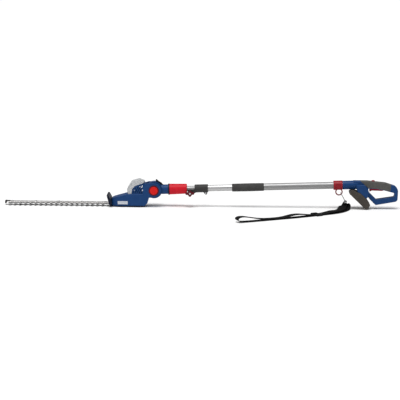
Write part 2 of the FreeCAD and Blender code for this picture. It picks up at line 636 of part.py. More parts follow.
# ------------------------------------------------------------------ tilt pivot
def make_pivot():
    """Pieces of the head that stand on the pivot bolt, drawn about the pivot."""
    at = pivot
    bolt_start = -CHEEK_OUTER + 1
    stem = rod(PIVOT_BOLT_RADIUS, at + V(0, bolt_start, 0), Y_AXIS,
               CHEEK_OUTER - 5 - bolt_start)
    head = rod(10.5, at + V(0, CHEEK_OUTER - 5, 0), Y_AXIS, 4)
    bolt = union([stem, head])
    bolt = bolt.cut(rod(4.4, at + V(0, bolt_start - 1, 0), Y_AXIS, 16))
    parts["pivot_bolt"] = bolt.cut(rod(3.2, at + V(0, CHEEK_OUTER - 4, 0), Y_AXIS, 4))

    ring = rod(RING_RADIUS, at + V(0, -CHEEK_OUTER - RING_HEIGHT, 0), Y_AXIS, RING_HEIGHT)
    ring = ring.cut(rod(BUTTON_RADIUS + 0.4, at + V(0, -60, 0), Y_AXIS, 60))
    parts["pivot_ring"] = ring

    face = -CHEEK_OUTER - BUTTON_TRAVEL - 0.4
    cap = rod(BUTTON_RADIUS, at + V(0, face - 4, 0), Y_AXIS, 4)
    rim = [e for e in cap.Edges if abs(e.BoundBox.YMax - (face - 4)) < 1e-4]
    cap = cap.makeFillet(1.8, rim)
    stem = rod(4.0, at + V(0, face - 1, 0), Y_AXIS, 9)
    parts["pivot_button"] = union([cap, stem])
    spring_start = face + 8
    parts["button_spring"] = coil_spring(
        at + V(0, spring_start + 0.1, 0), Y_AXIS, X_AXIS, 3.2, 0.5,
        bolt_start + 15 - spring_start - 0.3, 3)

    disc = rod(LOCK_DISC_RADIUS, at + V(0, -LOCK_DISC_HALF, 0), Y_AXIS, 2 * LOCK_DISC_HALF)
    disc = disc.cut(rod(PIVOT_BOLT_RADIUS, at + V(0, -10, 0), Y_AXIS, 20))
    for k in range(11):
        angle = math.radians(pole_tilt + LEVER_ANGLE - NOTCH_STEP * (k - 5))
        out = V(math.cos(angle), 0, math.sin(angle))
        notch = rod(2.4, at + out * LOCK_DISC_RADIUS + V(0, -10, 0), Y_AXIS, 20)
        disc = disc.cut(notch)
    parts["lock_disc"] = disc


def make_neck():
    """The neck between the head's cheeks and the inner tube, in the pole frame."""
    lug = rod(LUG_RADIUS, V(0, -LUG_HALF_WIDTH, 0), Y_AXIS, 2 * LUG_HALF_WIDTH)
    barrel = rod(NECK_RADIUS, V(20, 0, 0), X_AXIS, NECK_END - 20)
    shoulder = rod(NECK_RADIUS, V(20, 0, 0), X_AXIS, 26).common(
        box(20, 60, -LUG_HALF_WIDTH, LUG_HALF_WIDTH, -40, 40))
    barrel = barrel.cut(rod(LUG_RADIUS + 2, V(0, -60, 0), Y_AXIS, 120)).fuse(shoulder)
    spigot = rod(SPIGOT_RADIUS, V(NECK_END - 1, 0, 0), X_AXIS, SPIGOT_END - NECK_END + 1)
    neck = union([lug, barrel, spigot])
    neck = neck.cut(rod(PIVOT_BOLT_RADIUS + RUN_GAP, V(0, -60, 0), Y_AXIS, 120))
    disc_room = rod(LOCK_DISC_RADIUS + 1.2, V(0, -LOCK_DISC_HALF - 0.4, 0), Y_AXIS,
                    2 * LOCK_DISC_HALF + 0.8)
    neck = neck.cut(disc_room)
    neck = neck.cut(rod(INNER_TUBE_RADIUS, V(INNER_TUBE_START, 0, 0), X_AXIS, 90))
    neck = neck.cut(rod(8, V(30, 0, 0), X_AXIS, 30).common(
        box(30, 70, -20, 20, -20, 20).cut(rod(LOCK_DISC_RADIUS + 3, V(0, -30, 0), Y_AXIS, 60))))
    neck = neck.cut(lever_room())
    pin_x, pin_z = LEVER_PIN
    neck = neck.cut(rod(LEVER_PIN_RADIUS, V(pin_x, -LEVER_PIN_HALF, pin_z), Y_AXIS,
                        2 * LEVER_PIN_HALF))
    for x, z, half_width in neck_screw_places():
        neck = neck.cut(rod(SCREW_RADIUS, V(x, -half_width + 6, z), Y_AXIS, 100))
        neck = neck.cut(rod(SCREW_HEAD_RADIUS + 0.3, V(x, half_width - SCREW_SINK, z),
                            Y_AXIS, 30))
    left, right = halves(neck)
    add_on_pole("neck_left_shell", left)
    add_on_pole("neck_right_shell", right)
    add_on_pole("neck_screws", Part.makeCompound(casing_screws(neck_screw_places())))
    add_on_pole("neck_flange", tube(FLANGE_RADIUS, SPIGOT_RADIUS, NECK_END,
                                    NECK_END + FLANGE_LENGTH))


def neck_screw_places():
    return [(-24, 26, LUG_HALF_WIDTH), (-24, -26, LUG_HALF_WIDTH), (53, -17.5, 13.5)]


def lever_profile():
    nose_angle = math.radians(LEVER_ANGLE)
    nose_at = LOCK_DISC_RADIUS + 1.6
    nose = (nose_at * math.cos(nose_angle), nose_at * math.sin(nose_angle))
    return [(nose[0] - 2.2, nose[1] - 0.2, 0.5), (nose[0] - 6, nose[1] + 7, 2),
            (nose[0] - 12, nose[1] + 20, 2), (nose[0] - 7, nose[1] + 24, 2),
            (nose[0] + 2, nose[1] + 15, 5), (nose[0] + 17, nose[1] + 5, 6),
            (nose[0] + 24, nose[1] - 6, 2.5), (nose[0] + 17, nose[1] - 7, 2),
            (nose[0] + 8, nose[1] + 2, 4), (nose[0] + 2.4, nose[1] + 0.8, 0.5)]


def lever_room():
    """The pocket in the neck's top that the release lever lies and swings in."""
    half = LEVER_HALF + SLIDE_GAP
    pocket = [(10, 24, 0), (2, 60, 0), (60, 60, 0), (60, 26, 0), (48, 13.5, 4), (32, 13.5, 3)]
    return side_prism(pocket, -half, half)


def make_release_lever():
    x, z = LEVER_PIN
    lever = side_prism(lever_profile(), -LEVER_HALF, LEVER_HALF)
    hub = rod(4.6, V(x, -LEVER_HALF, z), Y_AXIS, 2 * LEVER_HALF)
    lever = union([lever, hub])
    lever = lever.cut(rod(LEVER_PIN_RADIUS + RUN_GAP, V(x, -20, z), Y_AXIS, 40))
    add_on_pole("release_lever", lever)
    add_on_pole("lever_pin", rod(LEVER_PIN_RADIUS, V(x, -LEVER_PIN_HALF, z), Y_AXIS,
                                 2 * LEVER_PIN_HALF))


# ------------------------------------------------------------------ sleeve and tubes
def make_sleeve():
    outer = Part.makeCone(SLEEVE_FRONT_RADIUS, SLEEVE_REAR_RADIUS,
                          SLEEVE_END - NECK_END - FLANGE_LENGTH - SLIDE_GAP,
                          V(NECK_END + FLANGE_LENGTH + SLIDE_GAP, 0, 0), X_AXIS)
    rear = [e for e in outer.Edges if e.BoundBox.XMin > SLEEVE_END - 0.01]
    outer = outer.makeFillet(2.5, rear)
    sleeve = outer.cut(rod(SPIGOT_RADIUS + SLIDE_GAP, V(0, 0, 0), X_AXIS, SPIGOT_END + 2))
    sleeve = sleeve.cut(rod(INNER_TUBE_RADIUS + SLIDE_GAP, V(0, 0, 0), X_AXIS, 300))
    ribs = 10
    for k in range(ribs):
        turn = 2 * math.pi * (k + 0.5) / ribs
        place = V(0, (SLEEVE_FRONT_RADIUS + 1.6) * math.cos(turn),
                  (SLEEVE_FRONT_RADIUS + 1.6) * math.sin(turn))
        sleeve = sleeve.cut(rod(2.2, place + V(NECK_END + 20, 0, 0), X_AXIS, 48))
    add_on_pole("lock_sleeve", sleeve)


def make_tubes():
    add_on_pole("inner_tube", tube(INNER_TUBE_RADIUS, INNER_TUBE_RADIUS - TUBE_WALL,
                                   INNER_TUBE_START, INNER_TUBE_END))
    plug = tube(INNER_TUBE_RADIUS + 0.3, 6, INNER_TUBE_END, INNER_TUBE_END + 8).fuse(
        tube(INNER_TUBE_RADIUS - TUBE_WALL, 6, INNER_TUBE_END - 20, INNER_TUBE_END))
    add_on_pole("tube_guide_plug", plug.removeSplitter())
    front = tube(FRONT_TUBE_RADIUS, FRONT_TUBE_RADIUS - FRONT_TUBE_WALL, COLLAR_START + 14,
                 TUBE_JOINT_END)
    add_on_pole("front_tube", front)
    rear = tube(REAR_TUBE_RADIUS, REAR_TUBE_RADIUS - TUBE_WALL, TUBE_JOINT_START, REAR_TUBE_END)
    rivets = []
    for x in (TUBE_JOINT_START + 20, TUBE_JOINT_START + 55):
        rivet = rod(2.4, V(x, 0, FRONT_TUBE_RADIUS - FRONT_TUBE_WALL), Z_AXIS,
                    TUBE_WALL + FRONT_TUBE_WALL - 0.1)
        rivets.append(rivet)
        rear = rear.cut(rod(2.4, V(x, 0, 8), Z_AXIS, 14))
        parts_front = parts["front_tube"].cut(on_pole(rod(2.4, V(x, 0, 8), Z_AXIS, 14)))
        parts["front_tube"] = parts_front
    add_on_pole("rear_tube", rear)
    add_on_pole("tube_rivets", Part.makeCompound(rivets))
    foam = rod(FOAM_RADIUS, V(FOAM_START, 0, 0), X_AXIS, FOAM_END - FOAM_START)
    ends = [e for e in foam.Edges if e.Length > 10 and e.BoundBox.XLength < 1e-4]
    foam = foam.makeFillet(1.5, ends)
    foam = foam.cut(rod(FRONT_TUBE_RADIUS, V(FOAM_START - 1, 0, 0), X_AXIS, 300))
    foam = foam.cut(rod(REAR_TUBE_RADIUS, V(TUBE_JOINT_START, 0, 0), X_AXIS, 300))
    add_on_pole("foam_grip", foam)


def make_clamp():
    body = rod(COLLAR_RADIUS, V(COLLAR_START, 0, 0), X_AXIS, COLLAR_END - COLLAR_START)
    rims = [e for e in body.Edges if e.BoundBox.XLength < 1e-4]
    body = body.makeFillet(1.5, rims)
    nose = side_prism([(KNOB_X - 11, -4, 4), (COLLAR_START + 6, -1, 0),
                       (COLLAR_START + 6, -17, 0), (KNOB_X + 6, -28, 4), (KNOB_X - 8, -28, 5)],
                      -15.5, 15.5)
    stub = rod(7.5, V(KNOB_X, -KNOB_INNER + 0.5, KNOB_Z), Y_AXIS, KNOB_INNER - 0.5)
    foot = CLAMP_SCREW_Z - 7
    ear = side_prism([(COLLAR_END - 26, -10, 2), (COLLAR_END - 4, -10, 0),
                      (COLLAR_END - 4, foot, 6), (COLLAR_END - 15, foot, 6)], -8, 8)
    clamp = union([body, nose, stub, ear])
    clamp = clamp.cut(rod(INNER_TUBE_RADIUS + SLIDE_GAP, V(100, 0, 0), X_AXIS, 200))
    clamp = clamp.cut(rod(FRONT_TUBE_RADIUS, V(COLLAR_START + 14, 0, 0), X_AXIS, 100))
    clamp = clamp.cut(box(COLLAR_START + 12, COLLAR_END + 1, -1, 1, -40, 0))
    screw_at = V(COLLAR_END - 12, 0, CLAMP_SCREW_Z)
    clamp = clamp.cut(rod(2.5, screw_at + V(0, -20, 0), Y_AXIS, 40))
    knob_at = V(KNOB_X, 0, KNOB_Z)
    clamp = clamp.cut(rod(3.0 + RUN_GAP, knob_at + V(0, -40, 0), Y_AXIS, 60))
    add_on_pole("clamp_collar", clamp)
    screw = union([rod(2.5, screw_at + V(0, -9, 0), Y_AXIS, 20),
                   rod(4.5, screw_at + V(0, -12, 0), Y_AXIS, 4)])
    add_on_pole("clamp_screw", screw.cut(rod(1.8, screw_at + V(0, -13, 0), Y_AXIS, 3)))
    nut = rod(4.6, screw_at + V(0, 8, 0), Y_AXIS, 3).cut(
        rod(2.5, screw_at + V(0, 0, 0), Y_AXIS, 20))
    add_on_pole("clamp_nut", nut)

    hub = rod(8.5, knob_at + V(0, -KNOB_OUTER, 0), Y_AXIS, KNOB_OUTER - KNOB_INNER)
    lobes = []
    for angle, reach in ((0, KNOB_REACH), (180, KNOB_REACH), (270, 15.0), (90, 12.5)):
        out = V(math.cos(math.radians(angle)), 0, math.sin(math.radians(angle)))
        arm = rod(5.5, knob_at + out * (reach - 5.5) + V(0, -KNOB_OUTER, 0), Y_AXIS,
                  KNOB_OUTER - KNOB_INNER)
        web = rod(7.5, knob_at + out * 6.5 + V(0, -KNOB_OUTER, 0), Y_AXIS,
                  KNOB_OUTER - KNOB_INNER)
        lobes += [arm, web]
    knob = union([hub] + lobes).cut(rod(3.0, knob_at + V(0, -60, 0), Y_AXIS, 100))
    add_on_pole("clamp_knob", knob)
    stem = rod(3.0, knob_at + V(0, -KNOB_OUTER - 1.5, 0), Y_AXIS, KNOB_OUTER + 13.5)
    cap = rod(4.4, knob_at + V(0, -KNOB_OUTER - 2.2, 0), Y_AXIS, 2.2)
    add_on_pole("knob_bolt", union([stem, cap]))


# ------------------------------------------------------------------ strap and its hook
def make_strap_clamp():
    body = rod(STRAP_CLAMP_RADIUS, V(STRAP_CLAMP_START, 0, 0), X_AXIS,
               STRAP_CLAMP_END - STRAP_CLAMP_START)
    rims = [e for e in body.Edges if e.BoundBox.XLength < 1e-4]
    body = body.makeFillet(2.0, rims)
    eye = Part.makeTorus(EYE_MAJOR, EYE_MINOR, V(EYE_X, 0, EYE_Z), Y_AXIS)
    clamp = union([body, eye])
    clamp = clamp.cut(rod(REAR_TUBE_RADIUS, V(800, 0, 0), X_AXIS, 200))
    clamp = clamp.cut(box(STRAP_CLAMP_START - 1, STRAP_CLAMP_END + 1, 0, 40, -1, 1))
    for side in (-1, 1):
        y0, y1 = sorted((side * (STRAP_CLAMP_RADIUS - 3), side * (STRAP_CLAMP_RADIUS + 1)))
        clamp = clamp.cut(box(STRAP_CLAMP_START + 12, STRAP_CLAMP_END - 10, y0, y1, -11, 9))
    screw_x = (STRAP_CLAMP_START + STRAP_CLAMP_END) / 2 + 1
    screw_y = REAR_TUBE_RADIUS + 2.6
    clamp = clamp.cut(rod(1.6, V(screw_x, screw_y, -30), Z_AXIS, 60))
    clamp = clamp.cut(rod(3.2, V(screw_x, screw_y, 5), Z_AXIS, 30))
    add_on_pole("strap_clamp", max(clamp.Solids, key=lambda s: s.Volume))
    screw = union([rod(1.6, V(screw_x, screw_y, -8), Z_AXIS, 14),
                   rod(2.9, V(screw_x, screw_y, 5), Z_AXIS, 2.4)])
    add_on_pole("strap_clamp_screw", screw)


def hook_frame():
    """The snap hook's base point, its upward direction and its crosswise direction."""
    base = V(HOOK_BASE[0], 0, HOOK_BASE[1])
    up = V(EYE_X + 8, 0, EYE_Z - 6) - base
    up.normalize()
    return base, up, Y_AXIS


def make_hook():
    base, up, across = hook_frame()

    def at(side, height):
        return base + across * side + up * height

    shoulder = HOOK_HEIGHT - HOOK_NOSE_HALF
    nose = []
    for k in range(9):
        turn = math.pi * (1 - k / 8)
        nose.append(at(-HOOK_NOSE_HALF * math.cos(math.pi - turn),
                       shoulder + HOOK_NOSE_HALF * math.sin(turn)))
    frame = [at(-HOOK_NOSE_HALF, GATE_LOW), at(-HOOK_BASE_HALF, EYE_SIDE),
             at(-HOOK_BASE_HALF, 0), at(HOOK_BASE_HALF, 0), at(HOOK_BASE_HALF, EYE_SIDE),
             at(HOOK_NOSE_HALF, GATE_LOW)]
    frame = frame + nose[::-1] + [at(-HOOK_NOSE_HALF, GATE_HIGH + 0.4)]
    hook = bent_rod(frame, HOOK_WIRE)
    add_on_pole("snap_hook", hook)
    low = GATE_LOW + HOOK_WIRE + 0.4
    gate = rod(HOOK_WIRE * 0.8, at(-HOOK_NOSE_HALF, low), up,
               GATE_HIGH - low)
    add_on_pole("hook_gate", gate)


def make_strap():
    count = len(STRAP_ROUTE)
    curve = Part.BSplineCurve()
    curve.interpolate(Points=[V(x, y, z) for x, y, z, _h in STRAP_ROUTE],
                      Parameters=[float(i) for i in range(count)])
    rings = []
    for i in range(STRAP_STATIONS + 1):
        at = (count - 1) * i / STRAP_STATIONS
        near = min(int(at), count - 2)
        share = at - near
        heading = STRAP_ROUTE[near][3] * (1 - share) + STRAP_ROUTE[near + 1][3] * share
        turn = math.radians(heading)
        middle = curve.value(at)
        along = V(*curve.tangent(at)[0])
        width = V(-math.sin(turn), math.cos(turn), 0)
        width = width - along * width.dot(along)
        width.normalize()
        face = along.cross(width)
        half, thin = WEBBING_WIDTH / 2, WEBBING_THICK / 2
        rings.append([middle + width * (half * a) + face * (thin * b)
                      for a, b in ((-1, -1), (1, -1), (1, 1), (-1, 1))])
    parts["shoulder_strap"] = polyhedron(rings)
    print("strap length", round(curve.length(), 1))


def make_buckle():
    """A three-bar slider that holds the two runs of the strap together."""
    middle, heading = V(868, -189.2, 0), 32.6
    inner = WEBBING_WIDTH / 2 + 4.2
    rails = [box(-15, 15, *sorted((side * inner, side * (inner + 4))), 0.4, 8.8)
             for side in (-1, 1)]
    bars = [box(x - 2.6, x + 2.6, -inner - 1, inner + 1, 6.6, 8.8) for x in (-12.4, 12.4)]
    buckle = union(rails + bars)
    buckle.rotate(V(0, 0, 0), Z_AXIS, heading)
    buckle.translate(middle)
    parts["strap_buckle"] = buckle


# ------------------------------------------------------------------ handle
def pack_point(u, v):
    """A point of the battery's own frame, in the pole frame."""
    slope = math.radians(BATTERY_SLOPE)
    x0, z0 = BATTERY_CORNER
    return (x0 + u * math.cos(slope) + v * math.sin(slope),
            z0 - u * math.sin(slope) + v * math.cos(slope))


def pack_outline(corners):
    return [pack_point(u, v) + (radius,) for u, v, radius in corners]


def handle_outline():
    return [(HANDLE_START + 50, -12, 0), (HANDLE_START + 50, 20.5, 0),
            (1000, 18.5, 60), (1085, 7.5, 70), (HANDLE_END + 3, -14, 30),
            (HANDLE_END - 2, -82, 15), (1033, -97.5, 9), (996, -48, 10), (975, -22, 10)]


def window_outline():
    return [(1005.5, -17, 2), (1045, -19.5, 12), (1080, -27.5, 12), (1108, -36, 8),
            (1128, -41, 8), (1125.5, -60, 7), (1041, -70.5, 4.5), (1006.5, -34, 4)]


def foot_outline():
    low = pack_point(24, BATTERY_THICK - 5)
    high = pack_point(DOCK_END, BATTERY_THICK + 0.4)
    nose = pack_point(DOCK_END, BATTERY_THICK + 11)
    return [low + (3,), high + (3,), nose + (3,), (1007, -30, 6), (990, 2, 8), (946, 2, 8)]


def grip_outline():
    return [(1006, -15.3, 3), (957.5, 30, 2), (1118, 30, 2), (1108, -34, 5), (1080, -26, 8),
            (1045, -18.2, 10)]


def make_handle():
    half = HANDLE_HALF_WIDTH
    loop = rim_fillet(side_prism(handle_outline(), -half, half), 4.0, half)
    loop = loop.cut(side_prism(window_outline(), -half - 1, half + 1))
    barrel = rod(BARREL_RADIUS, V(HANDLE_START, 0, 0), X_AXIS, 64)
    dome = Part.makeCone(BARREL_RADIUS, 14, 34, V(HANDLE_START + 64, 0, 0), X_AXIS)
    foot = rim_fillet(side_prism(foot_outline(), -FOOT_HALF_WIDTH, FOOT_HALF_WIDTH), 3.0,
                      FOOT_HALF_WIDTH)
    outer = union([loop, barrel, dome, foot])
    top = BATTERY_THICK + 0.4
    below = side_prism(pack_outline([(-0.8, -20, 0), (-0.8, top - PACK_NOSE_DROP, 0),
                                     (PACK_NOSE_RUN - 0.8, top, 0), (DOCK_END, top, 0),
                                     (DOCK_END, top + 8, 0), (190, top + 8, 0),
                                     (190, -20, 0)]),
                       -60, 60)
    outer = outer.cut(below)
    outer = outer.cut(side_prism(window_outline(), -half - 30, half + 30))

    wall = SHELL_WALL
    core_half = half - GRIP_SKIN
    core = shrunk_prism(handle_outline(), GRIP_SKIN, -core_half, core_half)
    grip_zone = side_prism(grip_outline(), -60, 60)
    skin = outer.common(grip_zone).cut(core)
    skin = max(skin.Solids, key=lambda s: s.Volume)
    casing = outer.cut(grip_zone).fuse(outer.common(grip_zone).common(core))

    hollow_half = core_half - wall
    hollow = shrunk_prism(handle_outline(), GRIP_SKIN + wall, -hollow_half, hollow_half)
    island = rounded_wire(window_outline(), lambda p: V(p.x, -60, p.y))
    island = Part.Face(island).makeOffset2D(wall)
    hollow = hollow.cut(Part.Face(island.Wires[0]).extrude(V(0, 120, 0)))
    foot_half = FOOT_HALF_WIDTH - wall
    floor = BATTERY_THICK + RAIL_HEIGHT + 3.2
    foot_room = side_prism(
        pack_outline([(36, floor, 2), (68, floor, 2), (60, floor + 13, 3), (36, floor + 13, 3)]),
        -foot_half, foot_half)
    casing = casing.cut(hollow).cut(foot_room.common(shrunk_prism(
        foot_outline(), wall, -foot_half, foot_half)))
    casing = casing.cut(rod(REAR_TUBE_RADIUS, V(HANDLE_START - 1, 0, 0), X_AXIS,
                            REAR_TUBE_END - HANDLE_START + 1))
    casing = casing.cut(dock_channel())
    slot_half = TRIGGER_HALF + 0.5
    casing = casing.cut(side_prism(trigger_slot(), -slot_half, slot_half))
    skin = skin.cut(side_prism(trigger_slot(), -slot_half - 1, slot_half + 1))
    x, z = LOCK_OFF_AT
    button_hole = box(x - LOCK_OFF_HALF_LENGTH - 0.3, x + LOCK_OFF_HALF_LENGTH + 0.3,
                      -LOCK_OFF_HALF_WIDTH - 0.3, LOCK_OFF_HALF_WIDTH + 0.3, z - 8, z + 12)
    casing, skin = casing.cut(button_hole), skin.cut(button_hole)
    for x, z, half_width in handle_screw_places():
        post = rod(SCREW_HEAD_RADIUS + 1.6, V(x, -half_width + 1, z), Y_AXIS,
                   2 * half_width - 2).common(outer)
        casing = casing.fuse(post)
        casing = casing.cut(rod(SCREW_RADIUS, V(x, -half_width + 6, z), Y_AXIS, 100))
        casing = casing.cut(rod(SCREW_HEAD_RADIUS + 0.3, V(x, half_width - SCREW_SINK, z),
                                Y_AXIS, 30))
    left, right = halves(casing)
    add_on_pole("handle_left_shell", max(left.Solids, key=lambda s: s.Volume))
    add_on_pole("handle_right_shell", max(right.Solids, key=lambda s: s.Volume))
    add_on_pole("grip_overmould", skin)
    add_on_pole("handle_screws", Part.makeCompound(casing_screws(handle_screw_places())))


def handle_screw_places():
    half = HANDLE_HALF_WIDTH
    return [(1128, -20, half), (1130, -72, half), (1036, -84, half), (1005, -44, half)]


def dock_channel():
    """The T-shaped channel that the battery's rails slide along, open at its low end."""
    gap = 0.4
    low = BATTERY_THICK - 1
    lip = BATTERY_THICK + RAIL_HEIGHT / 2
    top = BATTERY_THICK + RAIL_HEIGHT + gap
    start = RAIL_START - gap
    narrow = side_prism(pack_outline([(start, low, 0), (start, top, 0), (200, top, 0),
                                      (200, low, 0)]), -RAIL_HALF - gap, RAIL_HALF + gap)
    wide = side_prism(pack_outline([(start, lip - gap, 0), (start, top, 0), (200, top, 0),
                                    (200, lip - gap, 0)]), -RAIL_LIP - gap, RAIL_LIP + gap)
    return narrow.fuse(wide)


def trigger_slot():
    return [(1009.4, -40, 0), (1009.4, -2.5, 3), (1040, -4, 6), (1086, -15, 5),
            (1086, -40, 0)]


def make_trigger():
    x, z = TRIGGER_PIN
    lever = side_prism([(1010.4, -33.8, 2.2), (1010.4, -13, 3), (1045, -15.5, 6),
                        (1078, -18, 2), (1082.5, -27, 2), (1070, -31, 6), (1022, -28.2, 8)],
                       -TRIGGER_HALF, TRIGGER_HALF)
    lever = lever.cut(rod(1.6 + RUN_GAP, V(x, -30, z), Y_AXIS, 60))
    add_on_pole("trigger", lever)
    add_on_pole("trigger_pin", rod(1.6, V(x, -10, z), Y_AXIS, 20))
    x, z = LOCK_OFF_AT
    button = box(x - LOCK_OFF_HALF_LENGTH, x + LOCK_OFF_HALF_LENGTH, -LOCK_OFF_HALF_WIDTH,
                 LOCK_OFF_HALF_WIDTH, z - 6.5, z + 3.2)
    top = [e for e in button.Edges if e.BoundBox.ZMin > z + 3.19]
    add_on_pole("lock_off_button", button.makeFillet(1.5, top))
    switch = box(1018, 1050, -8, 8, -4.0 + 1.5, 6.5)
    add_on_pole("switch_module", switch.makeFillet(0.8, switch.Edges))


# ------------------------------------------------------------------ battery
def on_pack(shape):
    """Sets a piece drawn in the battery's frame, X along it and Z up, into the pole frame."""
    moved = shape.copy()
    moved.rotate(V(0, 0, 0), Y_AXIS, BATTERY_SLOPE)
    moved.translate(V(BATTERY_CORNER[0], 0, BATTERY_CORNER[1]))
    return moved


def make_battery():
    half, top = BATTERY_HALF_WIDTH, BATTERY_THICK
    profile = [(0, 0, PACK_CORNER), (0, top - PACK_NOSE_DROP, 3), (PACK_NOSE_RUN, top, 5),
               (BATTERY_LENGTH - 38, top, 4), (BATTERY_LENGTH - 3, top - 8, 6),
               (BATTERY_LENGTH, 0, PACK_CORNER)]
    outer = rim_fillet(side_prism(profile, -half, half), 3.0, half)
    room_half = half - 2.0
    room = shrunk_prism(profile, 2.0, -room_half, room_half)
    for i in range(6):
        x = 22 + 13 * i
        for side in (-1, 1):
            groove = rod(1.0, V(x, side * (half + 0.35), 5), Z_AXIS, 22)
            outer = outer.cut(groove)
    shell = outer.cut(room)
    low = [(RAIL_START, top - 1, 0), (RAIL_START, top + RAIL_HEIGHT / 2, 0),
           (RAIL_END, top + RAIL_HEIGHT / 2, 0), (RAIL_END, top - 1, 0)]
    high = [(RAIL_START, top + RAIL_HEIGHT / 2 - 0.01, 0), (RAIL_START, top + RAIL_HEIGHT, 0),
            (RAIL_END, top + RAIL_HEIGHT, 0), (RAIL_END, top + RAIL_HEIGHT / 2 - 0.01, 0)]
    rails = side_prism(low, -RAIL_HALF, RAIL_HALF).fuse(side_prism(high, -RAIL_LIP, RAIL_LIP))
    shell = shell.fuse(rails)
    for y in (-12, 0, 12):
        shell = shell.cut(box(RAIL_START - 1, RAIL_START + 22, y - 1.5, y + 1.5, top + 1.5,
                              top + 9))
    pocket = box(-1, LATCH_THICK + LATCH_TRAVEL + 0.3, -LATCH_HALF - SLIDE_GAP,
                 LATCH_HALF + SLIDE_GAP, 5, 17)
    socket = box(-1, LATCH_THICK + LATCH_TRAVEL + 2.3, -LATCH_HALF - 2, LATCH_HALF + 2, 3, 19)
    shell = shell.fuse(socket.common(outer)).cut(pocket)
    case = shell.common(box(-9, 200, -60, 60, -5, LID_SPLIT))
    lid = shell.common(box(-9, 200, -60, 60, LID_SPLIT, 60))
    add_on_pole("battery_case", on_pack(case.removeSplitter()))
    add_on_pole("battery_lid", on_pack(lid.removeSplitter()))
    latch = box(-0.8, LATCH_THICK - 0.8, -LATCH_HALF, LATCH_HALF, 5.3, 16.7)
    front = [e for e in latch.Edges if e.BoundBox.XMax < -0.79]
    add_on_pole("battery_latch", on_pack(latch.makeFillet(0.7, front)))
    cells = []
    first = 9.5 + CELL_RADIUS
    for i in range(CELL_COUNT):
        cells.append(rod(CELL_RADIUS, V(first + (2 * CELL_RADIUS + 0.4) * i,
                                        -CELL_LENGTH / 2, 2.4 + CELL_RADIUS),
                         Y_AXIS, CELL_LENGTH))
    add_on_pole("battery_cells", on_pack(Part.makeCompound(cells)))


# ------------------------------------------------------------------ setting up on the floor
def find_pole_tilt():
    """The slope at which the battery's low corner just rests on the floor."""
    x, z = pack_point(BATTERY_LENGTH - PACK_CORNER, PACK_CORNER)
    return math.degrees(math.asin((PACK_CORNER - PIVOT_HEIGHT) / math.hypot(x, z))
                        - math.atan2(z, x))


pole_tilt = find_pole_tilt()


def on_pole(shape):
    moved = shape.copy()
    moved.rotate(V(0, 0, 0), Y_AXIS, -pole_tilt)
    moved.translate(pivot)
    return moved


def add_on_pole(name, shape):
    parts[name] = on_pole(shape)


def make_all():
    make_base_plate()
    make_gearcase()
    make_front_guard()
    make_clear_screen()
    make_badge()
    make_blade("lower_blade", BLADE_LEVEL)
    make_blade("upper_blade", upper_blade_z)
    make_bar_and_fasteners()
    make_tip_guard()
    make_drive()
    parts["head_screws"] = Part.makeCompound(casing_screws(head_screw_places()))
    make_pivot()
    make_neck()
    make_release_lever()
    make_sleeve()
    make_tubes()
    make_clamp()
    make_strap_clamp()
    make_hook()
    make_strap()
    make_buckle()
    make_handle()
    make_trigger()
    make_battery()


make_all()
os.makedirs("parts", exist_ok=True)
for name, shape in parts.items():
    solids = shape.Solids
    if not shape.isValid() or not solids:
        print("NOT VALID", name, len(solids))
    shape.exportStep("parts/" + name + ".step")
print(len(parts), "nodes; pole tilt", round(pole_tilt, 3))
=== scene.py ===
import math

import bpy
import numpy as np
from mathutils import Matrix, Vector


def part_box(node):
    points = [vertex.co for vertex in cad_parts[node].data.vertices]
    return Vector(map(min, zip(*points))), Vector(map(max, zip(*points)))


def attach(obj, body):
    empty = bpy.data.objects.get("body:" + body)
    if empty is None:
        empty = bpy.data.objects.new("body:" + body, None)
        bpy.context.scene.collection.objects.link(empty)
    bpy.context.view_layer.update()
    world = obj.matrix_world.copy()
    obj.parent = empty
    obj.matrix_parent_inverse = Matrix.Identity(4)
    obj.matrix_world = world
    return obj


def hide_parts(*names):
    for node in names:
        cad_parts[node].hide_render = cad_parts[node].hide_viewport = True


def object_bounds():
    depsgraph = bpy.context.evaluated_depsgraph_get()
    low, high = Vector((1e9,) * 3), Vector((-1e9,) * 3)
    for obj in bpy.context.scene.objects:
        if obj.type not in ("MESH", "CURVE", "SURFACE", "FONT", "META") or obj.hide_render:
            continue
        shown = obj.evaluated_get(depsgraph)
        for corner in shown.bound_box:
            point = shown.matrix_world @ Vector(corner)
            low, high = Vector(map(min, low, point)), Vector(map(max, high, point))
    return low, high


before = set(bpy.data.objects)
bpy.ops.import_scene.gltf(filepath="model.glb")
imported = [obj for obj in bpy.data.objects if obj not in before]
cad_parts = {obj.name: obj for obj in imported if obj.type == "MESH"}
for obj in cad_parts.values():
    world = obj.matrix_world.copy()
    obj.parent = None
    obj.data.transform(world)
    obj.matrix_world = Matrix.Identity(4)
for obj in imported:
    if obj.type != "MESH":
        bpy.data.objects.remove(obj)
cad_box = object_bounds()

# A cordless pole hedge trimmer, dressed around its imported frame. Everything is in metres,
# in the frame's own axes: +X from the blade to the handle, +Y to the far side, +Z up.

MILLIMETRE = 0.001

